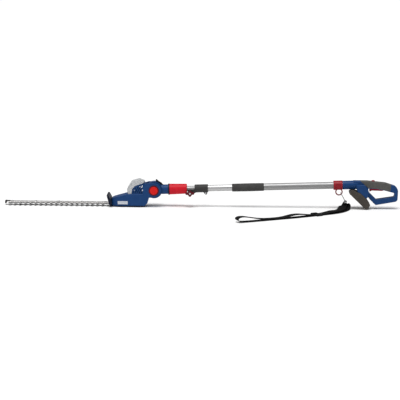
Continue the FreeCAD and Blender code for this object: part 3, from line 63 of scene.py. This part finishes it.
# ---- colours, as light values
BLUE, BLUE_WORN = (0.0045, 0.0370, 0.1350, 1), (0.0110, 0.0560, 0.1750, 1)
NAVY, NAVY_WORN = (0.0020, 0.0048, 0.0150, 1), (0.0060, 0.0120, 0.0300, 1)
BLACK, BLACK_WORN = (0.0050, 0.0050, 0.0060, 1), (0.0140, 0.0140, 0.0160, 1)
COAL, COAL_WORN = (0.0300, 0.0300, 0.0300, 1), (0.0520, 0.0510, 0.0500, 1)
RED, RED_WORN = (0.5000, 0.0040, 0.0160, 1), (0.5800, 0.0150, 0.0260, 1)
CAP_RED, CAP_RED_WORN = (0.5800, 0.0060, 0.0050, 1), (0.6600, 0.0200, 0.0160, 1)
MAROON, MAROON_WORN = (0.2500, 0.0080, 0.0160, 1), (0.3200, 0.0180, 0.0280, 1)
DARK_RED, DARK_RED_WORN = (0.0850, 0.0030, 0.0090, 1), (0.1300, 0.0090, 0.0160, 1)
PACK_GREY, PACK_GREY_WORN = (0.0500, 0.0430, 0.0365, 1), (0.0780, 0.0700, 0.0620, 1)
GRIP_GREY, GRIP_GREY_WORN = (0.0680, 0.0680, 0.0640, 1), (0.0980, 0.0960, 0.0900, 1)
FOAM_GREY, FOAM_GREY_WORN = (0.0380, 0.0375, 0.0370, 1), (0.0640, 0.0630, 0.0620, 1)
BRIGHT_TUBE, BRIGHT_TUBE_WORN = (0.4300, 0.4300, 0.4350, 1), (0.5200, 0.5200, 0.5200, 1)
DULL_TUBE, DULL_TUBE_WORN = (0.2700, 0.2700, 0.2720, 1), (0.3400, 0.3400, 0.3400, 1)
DARK_STEEL, DARK_STEEL_WORN = (0.0100, 0.0095, 0.0090, 1), (0.0320, 0.0300, 0.0280, 1)
PALE_STEEL, PALE_STEEL_WORN = (0.6800, 0.6650, 0.6500, 1), (0.8200, 0.8100, 0.8000, 1)
ZINC, ZINC_WORN = (0.4200, 0.4250, 0.4300, 1), (0.5600, 0.5650, 0.5700, 1)
CELL_GREEN, CELL_GREEN_WORN = (0.0300, 0.1500, 0.0800, 1), (0.0500, 0.2100, 0.1100, 1)
WEBBING_BLACK, WEBBING_WORN = (0.0022, 0.0022, 0.0024, 1), (0.0090, 0.0090, 0.0094, 1)
FROST, FROST_WORN = (0.4800, 0.4950, 0.5050, 1), (0.6200, 0.6350, 0.6450, 1)
BADGE_WHITE, BADGE_GREY = (0.5800, 0.6100, 0.6600, 1), (0.4200, 0.4500, 0.5000, 1)
FLOOR_WHITE, FLOOR_GREY = (0.930, 0.930, 0.930, 1), (0.900, 0.900, 0.900, 1)


# ------------------------------------------------------------------ materials
# Brushed metal: stretches that draw a noise out into lines, the lines' scale and their depth.
ALONG, UPRIGHT = (1, 30, 30), (30, 30, 1)
BRUSH_LINES, BRUSH_DEPTH = 160.0, 0.00003
# Foam cells and grip ribs, per metre, and their depths.
FOAM_CELLS, FOAM_PIT = 900.0, 0.00025
GRIP_RIBS, RIB_HEIGHT = 46.0, 0.0005
# The weave: how fast its sines turn along and across the webbing, in radians per metre, how
# high its yarns stand, and how far from the middle the selvedge begins and is whole.
WEFT_TURN, WARP_TURN = 3600.0, 4700.0
YARN_HEIGHT = 0.0004
SELVEDGE_STARTS, SELVEDGE_WHOLE = 0.0165, 0.0175


class Number:
    """A socket that carries a number. Arithmetic on it adds Math nodes."""

    def __init__(self, finish, socket):
        self.finish, self.socket = finish, socket

    def maths(self, operation, first, second):
        return self.finish.node("ShaderNodeMath", {"operation": operation},
                                {0: first, 1: second})

    def __add__(self, other):
        return self.maths("ADD", self, other)

    def __radd__(self, other):
        return self.maths("ADD", other, self)

    def __sub__(self, other):
        return self.maths("SUBTRACT", self, other)

    def __rsub__(self, other):
        return self.maths("SUBTRACT", other, self)

    def __mul__(self, other):
        return self.maths("MULTIPLY", self, other)

    def __rmul__(self, other):
        return self.maths("MULTIPLY", other, self)


class Finish:
    """A material under way: its shader, and the one method that adds any other node."""

    def __init__(self, name, **constants):
        self.material = bpy.data.materials.new(name)
        self.material.use_nodes = True
        self.tree = self.material.node_tree
        self.shader = self.tree.nodes["Principled BSDF"]
        for key, value in constants.items():
            self.shader.inputs[key.replace("_", " ")].default_value = value

    def node(self, kind, settings=None, inputs=None, output=0):
        """Adds a node: its settings are set first, then the values or links of its sockets."""
        made = self.tree.nodes.new(kind)
        for key, value in (settings or {}).items():
            setattr(made, key, value)
        for key, value in (inputs or {}).items():
            self.feed(made.inputs[key], value)
        return Number(self, made.outputs[output])

    def feed(self, socket, value):
        """Links a socket to a node's output, or gives it a plain value."""
        if isinstance(value, Number):
            self.tree.links.new(value.socket, socket)
        else:
            socket.default_value = value

    def place(self, stretch=(1, 1, 1), output="Object"):
        """Object coordinates, or the UV map, stretched along each axis."""
        where = self.node("ShaderNodeTexCoord", output=output)
        return self.node("ShaderNodeMapping", None, {"Vector": where, "Scale": stretch})

    def noise(self, scale, detail=3.0, stretch=(1, 1, 1), roughness=0.55):
        """Cloudy noise; scale is in patches per metre."""
        return self.node("ShaderNodeTexNoise", None,
                         {"Vector": self.place(stretch), "Scale": scale, "Detail": detail,
                          "Roughness": roughness})

    def spread(self, value, low, high):
        """Stretches the part of value from low to high over 0 to 1."""
        return self.node("ShaderNodeMapRange", {"clamp": True},
                         {"Value": value, "From Min": low, "From Max": high})

    def blend(self, share, first, second):
        """A colour between first and second."""
        return self.node("ShaderNodeMix", {"data_type": "RGBA"},
                         {0: share, 6: first, 7: second}, output=2)

    def edges(self, radius):
        """The normal with its sharp edges rounded by radius."""
        return self.node("ShaderNodeBevel", {"samples": 4}, {"Radius": radius})

    def facing_up(self):
        """1 on a piece's level top faces, 0 on its upright and lower ones."""
        facing = self.node("ShaderNodeTexCoord", output="Normal")
        height = self.node("ShaderNodeSeparateXYZ", None, {"Vector": facing}, output="Z")
        return self.spread(height, 0.6, 0.9)

    def bump(self, height, distance, strength=1.0, normal=None):
        """The normal after raising the surface by up to distance, in metres."""
        inputs = {"Height": height, "Distance": distance, "Strength": strength}
        if normal:
            inputs["Normal"] = normal
        return self.node("ShaderNodeBump", None, inputs)

    def wear(self, normal):
        """How far a point lies on a rounded edge, from 0 on a face to 1 on its corner."""
        plain = self.node("ShaderNodeNewGeometry", output="Normal")
        likeness = self.node("ShaderNodeVectorMath", {"operation": "DOT_PRODUCT"},
                             {0: normal, 1: plain}, output="Value")
        return self.spread(1 - likeness, 0.01, 0.12)

    def finish(self, colour, roughness, normal, **others):
        """Feeds the shader and returns the finished material."""
        self.feed(self.shader.inputs["Base Color"], colour)
        self.feed(self.shader.inputs["Roughness"], roughness)
        self.feed(self.shader.inputs["Normal"], normal)
        for key, value in others.items():
            self.feed(self.shader.inputs[key.replace("_", " ")], value)
        return self.material


def moulded(name, colour, worn, roughness=0.38, grain=2400.0, depth=0.00004, rounding=0.0012):
    """Moulded plastic: spark-eroded grain, faint cloudy handling marks and scuffed edges."""
    f = Finish(name, IOR=1.5, Specular_IOR_Level=0.16)
    normal = f.edges(rounding)
    cloud = f.noise(scale=38.0, detail=4.0)
    scuff = f.spread(f.noise(scale=420.0, detail=5.0, stretch=(1, 0.35, 1)), 0.56, 0.74)
    edge = f.wear(normal)
    share = f.spread(cloud, 0.35, 0.75) * 0.45 + scuff * 0.22 + edge * 0.5
    rough = roughness + f.spread(cloud, 0.3, 0.7) * 0.10 + scuff * 0.12
    grained = f.bump(f.noise(grain, detail=2.0), depth, 0.5, normal)
    return f.finish(f.blend(share, colour, worn), rough, grained)


def metal(name, colour, worn, roughness=0.32, brush=(1, 30, 30), rounding=0.0004):
    """Brushed or drawn metal: fine lines along one axis, with duller patches."""
    f = Finish(name)
    normal = f.edges(rounding)
    lines = f.noise(BRUSH_LINES, detail=4.0, stretch=brush)
    cloud = f.noise(scale=24.0)
    rough = roughness + lines * 0.14 + f.spread(cloud, 0.35, 0.75) * 0.12
    share = f.spread(lines, 0.3, 0.7) * 0.7 + f.spread(cloud, 0.4, 0.8) * 0.3
    lined = f.bump(lines, BRUSH_DEPTH, 0.35, normal)
    metallic = 0.96 - f.spread(cloud, 0.5, 0.8) * 0.12
    return f.finish(f.blend(share, colour, worn), rough, lined, Metallic=metallic)


def steel_with_painted_top_sheen(name):
    """Blade steel, dark, with a painted sheen: faces that point up are coloured pale and made
    less metallic, as if lit from above, and the cut sides stay dark.
    """
    f = Finish(name)
    lines = f.noise(BRUSH_LINES, detail=4.0, stretch=ALONG)
    # painted sheen: up-facing faces turn pale and less metallic, the way light from above would
    # show them
    top = f.facing_up() * (0.72 + lines * 0.3)
    return f.finish(f.blend(top, DARK_STEEL, PALE_STEEL), 0.36 + lines * 0.14,
                    f.bump(lines, BRUSH_DEPTH, 0.35, f.edges(0.0003)),
                    Metallic=0.9 - top * 0.6)


def foam(name):
    """Closed-cell foam: small pits under a matt skin, paler where hands rub it."""
    f = Finish(name, IOR=1.45, Specular_IOR_Level=0.2)
    cells = f.node("ShaderNodeTexVoronoi", None, {"Vector": f.place(), "Scale": FOAM_CELLS})
    cloud = f.noise(scale=30.0, detail=4.0)
    pits = f.bump(cells, FOAM_PIT, 0.6, f.edges(0.002))
    share = f.spread(cloud, 0.35, 0.75) * 0.6 + cells * 0.3
    return f.finish(f.blend(share, FOAM_GREY, FOAM_GREY_WORN), 0.82 + cloud * 0.14, pits)


def soft_grip(name):
    """Rubbery overmould with raised slanted ribs across the part that the palm holds."""
    f = Finish(name, IOR=1.48, Specular_IOR_Level=0.25)
    ribs = f.node("ShaderNodeTexWave", {"wave_type": "BANDS", "bands_direction": "X"},
                  {"Vector": f.place((1, 0, 0.5)), "Scale": GRIP_RIBS, "Distortion": 0.0})
    grain = f.noise(scale=1800.0, detail=2.0)
    cloud = f.noise(scale=45.0, detail=4.0)
    raised = f.spread(ribs, 0.35, 0.6)
    grained = f.bump(grain, 0.00006, 0.5, f.edges(0.0015))
    normal = f.bump(raised, RIB_HEIGHT, 0.5, grained)
    share = raised * 0.35 + f.spread(cloud, 0.35, 0.7) * 0.5
    return f.finish(f.blend(share, GRIP_GREY, GRIP_GREY_WORN), 0.62 + cloud * 0.2, normal)


def frosted(name):
    """Milky clear plastic: see-through enough to show the housing behind it."""
    f = Finish(name, IOR=1.49)
    cloud = f.noise(scale=26.0)
    grain = f.noise(scale=1500.0, detail=2.0)
    alpha = 0.60 + f.spread(cloud, 0.3, 0.8) * 0.16
    return f.finish(f.blend(cloud, FROST, FROST_WORN), 0.30 + cloud * 0.18,
                    f.bump(grain, 0.00005, 0.4, f.edges(0.001)), Alpha=alpha)


def webbing(name):
    """Woven black webbing, from the strap's own UV map: U runs along it, V across it, both in
    metres. Warp yarns and weft yarns rise in turn, and each edge has a smooth selvedge."""
    f = Finish(name, IOR=1.45, Specular_IOR_Level=0.12)
    where = f.node("ShaderNodeTexCoord", output="UV")
    onward = f.node("ShaderNodeSeparateXYZ", None, {"Vector": where}, output="X")
    across = f.node("ShaderNodeSeparateXYZ", None, {"Vector": where}, output="Y")
    weft = f.node("ShaderNodeMath", {"operation": "SINE"}, {0: onward * WEFT_TURN})
    warp = f.node("ShaderNodeMath", {"operation": "SINE"}, {0: across * WARP_TURN})
    off_middle = f.node("ShaderNodeMath", {"operation": "ABSOLUTE"}, {0: across})
    selvedge = f.spread(off_middle, SELVEDGE_STARTS, SELVEDGE_WHOLE)
    fuzz = f.noise(scale=700.0, detail=4.0)
    yarn = (weft * warp * 0.5 + 0.5) * (1 - selvedge * 0.7)
    share = yarn * 0.45 + f.spread(fuzz, 0.4, 0.7) * 0.35 + selvedge * 0.2
    return f.finish(f.blend(share, WEBBING_BLACK, WEBBING_WORN), 0.62 + fuzz * 0.25,
                    f.bump(yarn + fuzz * 0.3, YARN_HEIGHT, 0.8))


def wiped(name, colour, worn, roughness):
    """A smooth finish with wiped, cloudy gloss: the badge and the cells' shrink wrap."""
    f = Finish(name)
    cloud = f.noise(scale=60.0, detail=4.0)
    return f.finish(f.blend(f.spread(cloud, 0.3, 0.7), colour, worn), roughness + cloud * 0.15,
                    f.bump(cloud, 0.00005, 0.2, f.edges(0.0006)))


finishes = {
    "blue casing": moulded("blue casing", BLUE, BLUE_WORN),
    "navy plastic": moulded("navy plastic", NAVY, NAVY_WORN, 0.42),
    "black plastic": moulded("black plastic", BLACK, BLACK_WORN, 0.40),
    "coal plastic": moulded("coal plastic", COAL, COAL_WORN, 0.48),
    "sleeve red": moulded("sleeve red", RED, RED_WORN, 0.40),
    "cap red": moulded("cap red", CAP_RED, CAP_RED_WORN, 0.34),
    "clamp red": moulded("clamp red", MAROON, MAROON_WORN, 0.36),
    "knob red": moulded("knob red", DARK_RED, DARK_RED_WORN, 0.40),
    "pack plastic": moulded("pack plastic", PACK_GREY, PACK_GREY_WORN, 0.50, 1500.0),
    "bright tube": metal("bright tube", BRIGHT_TUBE, BRIGHT_TUBE_WORN, 0.34, ALONG),
    "dull tube": metal("dull tube", DULL_TUBE, DULL_TUBE_WORN, 0.40, ALONG),
    "blade steel": steel_with_painted_top_sheen("blade steel"),
    "black steel": metal("black steel", DARK_STEEL, DARK_STEEL_WORN, 0.38, UPRIGHT),
    "bar steel": metal("bar steel", PALE_STEEL, PALE_STEEL_WORN, 0.26, ALONG),
    "zinc": metal("zinc", ZINC, ZINC_WORN, 0.30, UPRIGHT),
    "foam": foam("foam"),
    "soft grip": soft_grip("soft grip"),
    "frosted hood": frosted("frosted hood"),
    "webbing": webbing("webbing"),
    "badge": wiped("badge", BADGE_WHITE, BADGE_GREY, 0.25),
    "cell wrap": wiped("cell wrap", CELL_GREEN, CELL_GREEN_WORN, 0.28),
}

# Each CAD node's finish.
WORN_BY = {
    "blue casing": """gearcase_left_shell gearcase_right_shell neck_left_shell neck_right_shell
        handle_left_shell handle_right_shell""",
    "navy plastic": "base_plate front_guard neck_flange",
    "black plastic": """release_lever strap_buckle tip_guard tube_guide_plug
        axle_bridge switch_module battery_latch""",
    "coal plastic": "clamp_collar",
    "sleeve red": "lock_sleeve",
    "cap red": "pivot_button",
    "clamp red": "strap_clamp trigger lock_off_button",
    "knob red": "clamp_knob pivot_ring",
    "pack plastic": "battery_case battery_lid",
    "bright tube": "front_tube",
    "dull tube": "inner_tube rear_tube",
    "blade steel": "upper_blade lower_blade",
    "black steel": "head_screws neck_screws handle_screws motor_can",
    "bar steel": """blade_bar gear_plate lock_disc gear_axle drive_gear motor_rotor lever_pin
        trigger_pin button_spring""",
    "zinc": """blade_bolts blade_nuts pivot_bolt
        clamp_screw clamp_nut knob_bolt strap_clamp_screw tube_rivets snap_hook hook_gate""",
    "foam": "foam_grip",
    "soft grip": "grip_overmould",
    "frosted hood": "clear_screen",
    "webbing": "shoulder_strap",
    "badge": "badge_plate",
    "cell wrap": "battery_cells",
}


def wear_finish(piece, name):
    """Gives a piece one finish in place of any that it has."""
    piece.data.materials.clear()
    piece.data.materials.append(finishes[name])


for finish_name, words in WORN_BY.items():
    for node_name in words.split():
        wear_finish(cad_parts[node_name], finish_name)


# ------------------------------------------------------------------ surfaces
def grid_piece(name, points, finish, body, looped=False, uv=None):
    """A mesh over a grid of points, shaped (stations, around, 3). Each station's ring is joined
    to the next by four-cornered faces. Looped joins the last ring to the first one as well;
    otherwise one face closes each end."""
    stations, around = points.shape[:2]
    index = np.arange(stations * around).reshape(stations, around)
    rings = np.concatenate([index, index[:1]]) if looped else index
    beside = np.roll(rings, -1, axis=1)
    quads = np.stack([rings[:-1], beside[:-1], beside[1:], rings[1:]], axis=-1)
    faces = quads.reshape(-1, 4).tolist()
    if not looped:
        faces += [index[0, ::-1].tolist(), index[-1].tolist()]
    mesh = bpy.data.meshes.new(name)
    mesh.from_pydata(points.reshape(-1, 3).tolist(), [], faces)
    mesh.polygons.foreach_set("use_smooth", np.ones(len(faces), dtype=bool))
    if uv is not None:
        corner = np.empty(len(mesh.loops), dtype=np.int32)
        mesh.loops.foreach_get("vertex_index", corner)
        layer = mesh.uv_layers.new(name="UVMap")
        layer.data.foreach_set("uv", uv.reshape(-1, 2)[corner].astype(np.float32).ravel())
    mesh.update()
    piece = bpy.data.objects.new(name, mesh)
    bpy.context.scene.collection.objects.link(piece)
    wear_finish(piece, finish)
    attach(piece, body)
    return piece


def smooth_path(knots, count):
    """A natural cubic through the knots, read at count even steps. The second derivatives m
    solve m[i-1] + 4 m[i] + m[i+1] = 6 (k[i-1] - 2 k[i] + k[i+1]), with none at the ends."""
    last = len(knots) - 1
    weights = np.eye(last + 1)
    pull = np.zeros_like(knots)
    for shift, weight in ((-1, 1.0), (0, 4.0), (1, 1.0)):
        weights[np.arange(1, last), np.arange(1, last) + shift] = weight
    pull[1:-1] = 6 * (knots[:-2] - 2 * knots[1:-1] + knots[2:])
    bend = np.linalg.solve(weights, pull)
    at = np.linspace(0, last, count)
    i = np.minimum(at.astype(int), last - 1)
    b = (at - i)[:, None]
    a = 1 - b
    return (a * knots[i] + b * knots[i + 1]
            + ((a ** 3 - a) * bend[i] + (b ** 3 - b) * bend[i + 1]) / 6)


def unit(vectors):
    return vectors / np.linalg.norm(vectors, axis=-1, keepdims=True)


# ------------------------------------------------------------------ shoulder strap
# The strap's middle line in millimetres, X, Y and height, and the heading of its width in
# degrees from +Y towards -X: out from the hook along the floor, over an open fold, and back.
STRAP_ROUTE = np.array([
    (1017.2, 0, 26, 0), (1018.5, -2, 18, 12), (1017, -12, 10.5, 45), (1012, -32, 4.0, 72),
    (1002, -62, 1.7, 62), (968, -116, 1.5, 47), (905, -166, 1.4, 35), (830, -214, 1.4, 32),
    (750, -262, 1.4, 30), (680, -300, 1.4, 28), (610, -337, 1.4, 27), (565, -360, 1.5, 27),
    (530, -378, 3.0, 27), (509, -389, 9, 27), (503, -392, 17, 27), (511, -388, 24, 27),
    (533, -377, 25, 27), (562, -362, 19, 27), (595, -345, 12, 27), (632, -325, 7, 27),
    (680, -299, 5.5, 28), (720, -277, 8, 29), (760, -254, 14, 30), (800, -230, 12, 31),
    (838, -206, 5.6, 32), (868, -187, 4.6, 33), (905, -162, 6.5, 35), (940, -136, 11, 42),
    (970, -103, 9, 57), (987, -64, 9, 71), (995, -28, 12, 72), (999, -8, 17, 40),
    (1001, -0.5, 23, 10), (1005, 0, 31, 0), (1011.3, 0, 35.2, 0), (1016.6, 0, 32, 0)])
STRAP_WIDTH, STRAP_THICK = 0.038, 0.0019
STRAP_STATIONS, STRAP_AROUND = 900, 28
STRAP_FIRST_TURN = 0.11         # radians, which keeps points off the section's sharp ends
SAG_DEPTH, SAG_TURN = 0.00035, 41.0     # metres, and radians per metre of the strap


def strap_lines():
    """The middle line, and at each station the unit vectors along, across and out of it."""
    path = smooth_path(STRAP_ROUTE, STRAP_STATIONS)
    middle, turn = path[:, :3] * MILLIMETRE, np.radians(path[:, 3])
    along = unit(np.gradient(middle, axis=0))
    across = np.stack([-np.sin(turn), np.cos(turn), np.zeros_like(turn)], axis=1)
    across = unit(across - along * np.sum(across * along, axis=1, keepdims=True))
    return middle, along, across, np.cross(along, across)


def make_strap():
    """Flat webbing: around each station the section is a stretched rounded oblong, half its
    width times the signed fifth root of cos, and half its thickness times the signed root of
    sin. The middle of the web sags by a few tenths of a millimetre, in slow waves."""
    middle, along, across, out = strap_lines()
    step = np.linalg.norm(np.diff(middle, axis=0), axis=1)
    travel = np.concatenate([[0.0], np.cumsum(step)])
    turn = np.linspace(0, 2 * np.pi, STRAP_AROUND, endpoint=False) + STRAP_FIRST_TURN
    side = np.sign(np.cos(turn)) * np.abs(np.cos(turn)) ** 0.2
    face = np.sign(np.sin(turn)) * np.abs(np.sin(turn)) ** 0.5
    sag = SAG_DEPTH * np.sin(travel * SAG_TURN)[:, None] * (1 - side ** 2)[None]
    points = (middle[:, None] + across[:, None] * (side * STRAP_WIDTH / 2)[None, :, None]
              + out[:, None] * (face * STRAP_THICK / 2 + sag)[..., None])
    uv = np.stack(np.broadcast_arrays(travel[:, None], (side * STRAP_WIDTH / 2)[None]), axis=-1)
    strap = grid_piece("woven_strap", points, "webbing", "pole", uv=uv)
    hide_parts("shoulder_strap")


make_strap()


# ------------------------------------------------------------------ foam sleeve
FOAM_BORE, FOAM_LIP = 0.0149, 0.003     # radii, in metres
FOAM_SWELL, FOAM_DIP = 0.0006, 0.0004   # metres
FOAM_DIPS, FOAM_DIP_WIDTH = (0.27, 0.5, 0.74), 0.012    # as shares of the sleeve's length
FOAM_STATIONS, FOAM_LIP_STATIONS = 120, 9
SLOPE_PASSES = 4


def axis_ends(node, along):
    """The points where the pole's axis leaves a round piece, and the piece's radius. The slope
    leaves its box's corners radius times (sin, 1, cos) away from those points."""
    low, high = (np.array(corner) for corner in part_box(node))
    radius = (high[1] - low[1]) / 2
    inward = radius * np.array([along[2], 1.0, along[0]])
    return low + inward, high - inward, radius


def pole_frame():
    """A point on the pole's axis and the unit vectors along it, to its side and up from it.
    The inner tube's box gives the slope: tan slope is (rise - 2 radius cos slope) over
    (run - 2 radius sin slope), and each pass brings the slope nearer to that."""
    low, high = (np.array(corner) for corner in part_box("inner_tube"))
    run, across, rise = high - low
    slope = 0.0
    for _ in range(SLOPE_PASSES):
        slope = np.arctan2(rise - across * np.cos(slope), run - across * np.sin(slope))
    along = np.array([np.cos(slope), 0, np.sin(slope)])
    up = np.array([-np.sin(slope), 0, np.cos(slope)])
    return axis_ends("inner_tube", along)[0], along, np.array([0.0, 1.0, 0.0]), up


def turned(name, profile, finish, body, around=96):
    """A profile of (place along the pole, radius) turned about the pole's axis: each point is
    the axis point plus radius times (side cos, up sin)."""
    start, along, side, up = pole_frame()
    turn = np.linspace(0, 2 * np.pi, around, endpoint=False)
    ring = side * np.cos(turn)[:, None] + up * np.sin(turn)[:, None]
    points = (start + along * profile[:, :1])[:, None] + ring[None] * profile[:, 1:, None]
    return grid_piece(name, points, finish, body, looped=True)


def along_pole(node):
    """How far a round piece's two ends lie along the pole's axis, and the piece's radius."""
    start, along, _side, _up = pole_frame()
    first, last, radius = axis_ends(node, along)
    return float((first - start) @ along), float((last - start) @ along), radius


def make_foam():
    """A soft tube: its radius swells by half a sine along its length, rounds over at both ends
    as a quarter circle, and dips as a bell curve at three faint rings where hands squeeze it."""
    first, last, radius = along_pole("foam_grip")
    rim = radius - FOAM_SWELL
    share = np.linspace(0, 1, FOAM_STATIONS)
    swell = FOAM_SWELL * np.sin(np.pi * share)
    dips = FOAM_DIP * sum(np.exp(-((share - at) / FOAM_DIP_WIDTH) ** 2) for at in FOAM_DIPS)
    outside = np.stack([first + FOAM_LIP + (last - first - 2 * FOAM_LIP) * share,
                        rim + swell - dips], axis=1)
    bend = np.linspace(0, np.pi / 2, FOAM_LIP_STATIONS)[1:]
    lip_radius = rim - FOAM_LIP + FOAM_LIP * np.cos(bend)
    front = np.stack([first + FOAM_LIP - FOAM_LIP * np.sin(bend), lip_radius], axis=1)
    back = np.stack([last - FOAM_LIP + FOAM_LIP * np.sin(bend), lip_radius], axis=1)
    bore = np.array([[first, FOAM_BORE], [last, FOAM_BORE]])
    profile = np.concatenate([bore[:1], front[::-1], outside, back, bore[1:]])
    grip = turned("soft_foam_grip", profile, "foam", "pole")
    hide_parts("foam_grip")


make_foam()


# ------------------------------------------------------------------ floor, light and camera
FLOOR_REACH, FLOOR_LINES = 30.0, 3      # metres from the middle, and lines each way
CAMERA_TURN, CAMERA_RISE, CAMERA_ROLL = (math.radians(a) for a in (1.53, 9.99, 0.41))
CAMERA_AWAY, CAMERA_REACH = 8.0, 100.0
SENSOR_WIDTH = 36.0             # millimetres
# The view is FRAME_STEPS steps wide. AIM lies this many steps right of and above its middle.
FRAME_STEPS, METRES_PER_STEP = 400, 0.004705
AIM, AIM_RIGHT, AIM_UP = Vector((0.330, 0.0, 0.100)), 0.86, 14.2


def make_floor():
    """A flat square grid of x and y lines at the height of the object's lowest point."""
    line = np.linspace(-FLOOR_REACH, FLOOR_REACH, FLOOR_LINES)
    points = np.stack(np.broadcast_arrays(line[:, None], line[None],
                                          np.float64(cad_box[0][2])), axis=-1)
    index = np.arange(FLOOR_LINES ** 2).reshape(FLOOR_LINES, FLOOR_LINES)
    quads = np.stack([index[:-1, :-1], index[1:, :-1], index[1:, 1:], index[:-1, 1:]], axis=-1)
    mesh = bpy.data.meshes.new("floor")
    mesh.from_pydata(points.reshape(-1, 3).tolist(), [], quads.reshape(-1, 4).tolist())
    floor = bpy.data.objects.new("floor", mesh)
    bpy.context.scene.collection.objects.link(floor)
    f = Finish("pale floor")
    cloud = f.noise(scale=1.5)
    mesh.materials.append(f.finish(f.blend(cloud, FLOOR_WHITE, FLOOR_GREY), 0.75 + cloud * 0.1,
                                   f.bump(cloud, 0.0005, 0.2)))


def add_light(kind, name, place, aim, strength, **shape):
    """A light at place that shines towards aim."""
    light = bpy.data.lights.new(name, kind)
    light.energy = strength
    for key, value in shape.items():
        setattr(light, key, value)
    lamp = bpy.data.objects.new(name, light)
    lamp.location = place
    lamp.rotation_euler = (Vector(aim) - Vector(place)).to_track_quat("-Z", "Y").to_euler()
    bpy.context.scene.collection.objects.link(lamp)


def make_camera():
    """A long lens, turned, raised and rolled, that draws AIM where the steps above say."""
    turn, rise, roll = CAMERA_TURN, CAMERA_RISE, CAMERA_ROLL
    away = Vector((math.sin(turn) * math.cos(rise), -math.cos(turn) * math.cos(rise),
                   math.sin(rise)))
    level = Vector((math.cos(turn), math.sin(turn), 0))
    above = away.cross(level)
    right = level * math.cos(roll) + above * math.sin(roll)
    up = above * math.cos(roll) - level * math.sin(roll)
    middle = AIM - (right * AIM_RIGHT + up * AIM_UP) * METRES_PER_STEP
    lens = bpy.data.cameras.new("camera")
    lens.sensor_width = SENSOR_WIDTH
    lens.lens = SENSOR_WIDTH * CAMERA_AWAY / (METRES_PER_STEP * FRAME_STEPS)
    lens.clip_end = CAMERA_REACH
    camera = bpy.data.objects.new("camera", lens)
    turned_to = Matrix((right, up, away)).transposed().to_4x4()
    camera.matrix_world = Matrix.Translation(middle + away * CAMERA_AWAY) @ turned_to
    bpy.context.scene.collection.objects.link(camera)
    bpy.context.scene.camera = camera


def set_world(strength):
    """Even white light from all round, and colours shown without a film curve."""
    world = bpy.data.worlds.new("pale room")
    world.use_nodes = True
    background = world.node_tree.nodes["Background"]
    background.inputs["Color"].default_value = (1, 1, 1, 1)
    background.inputs["Strength"].default_value = strength
    bpy.context.scene.world = world
    bpy.context.scene.view_settings.view_transform = "Standard"


make_floor()
set_world(strength=0.34)
add_light("SUN", "overhead", place=(0.1, -1.0, 4.0), aim=(0.3, 0, 0), strength=2.7,
          angle=math.radians(34))
add_light("AREA", "front left", place=(-2.2, -3.0, 1.8), aim=(0.2, 0, 0.05), strength=26,
          size=1.6)
make_camera()
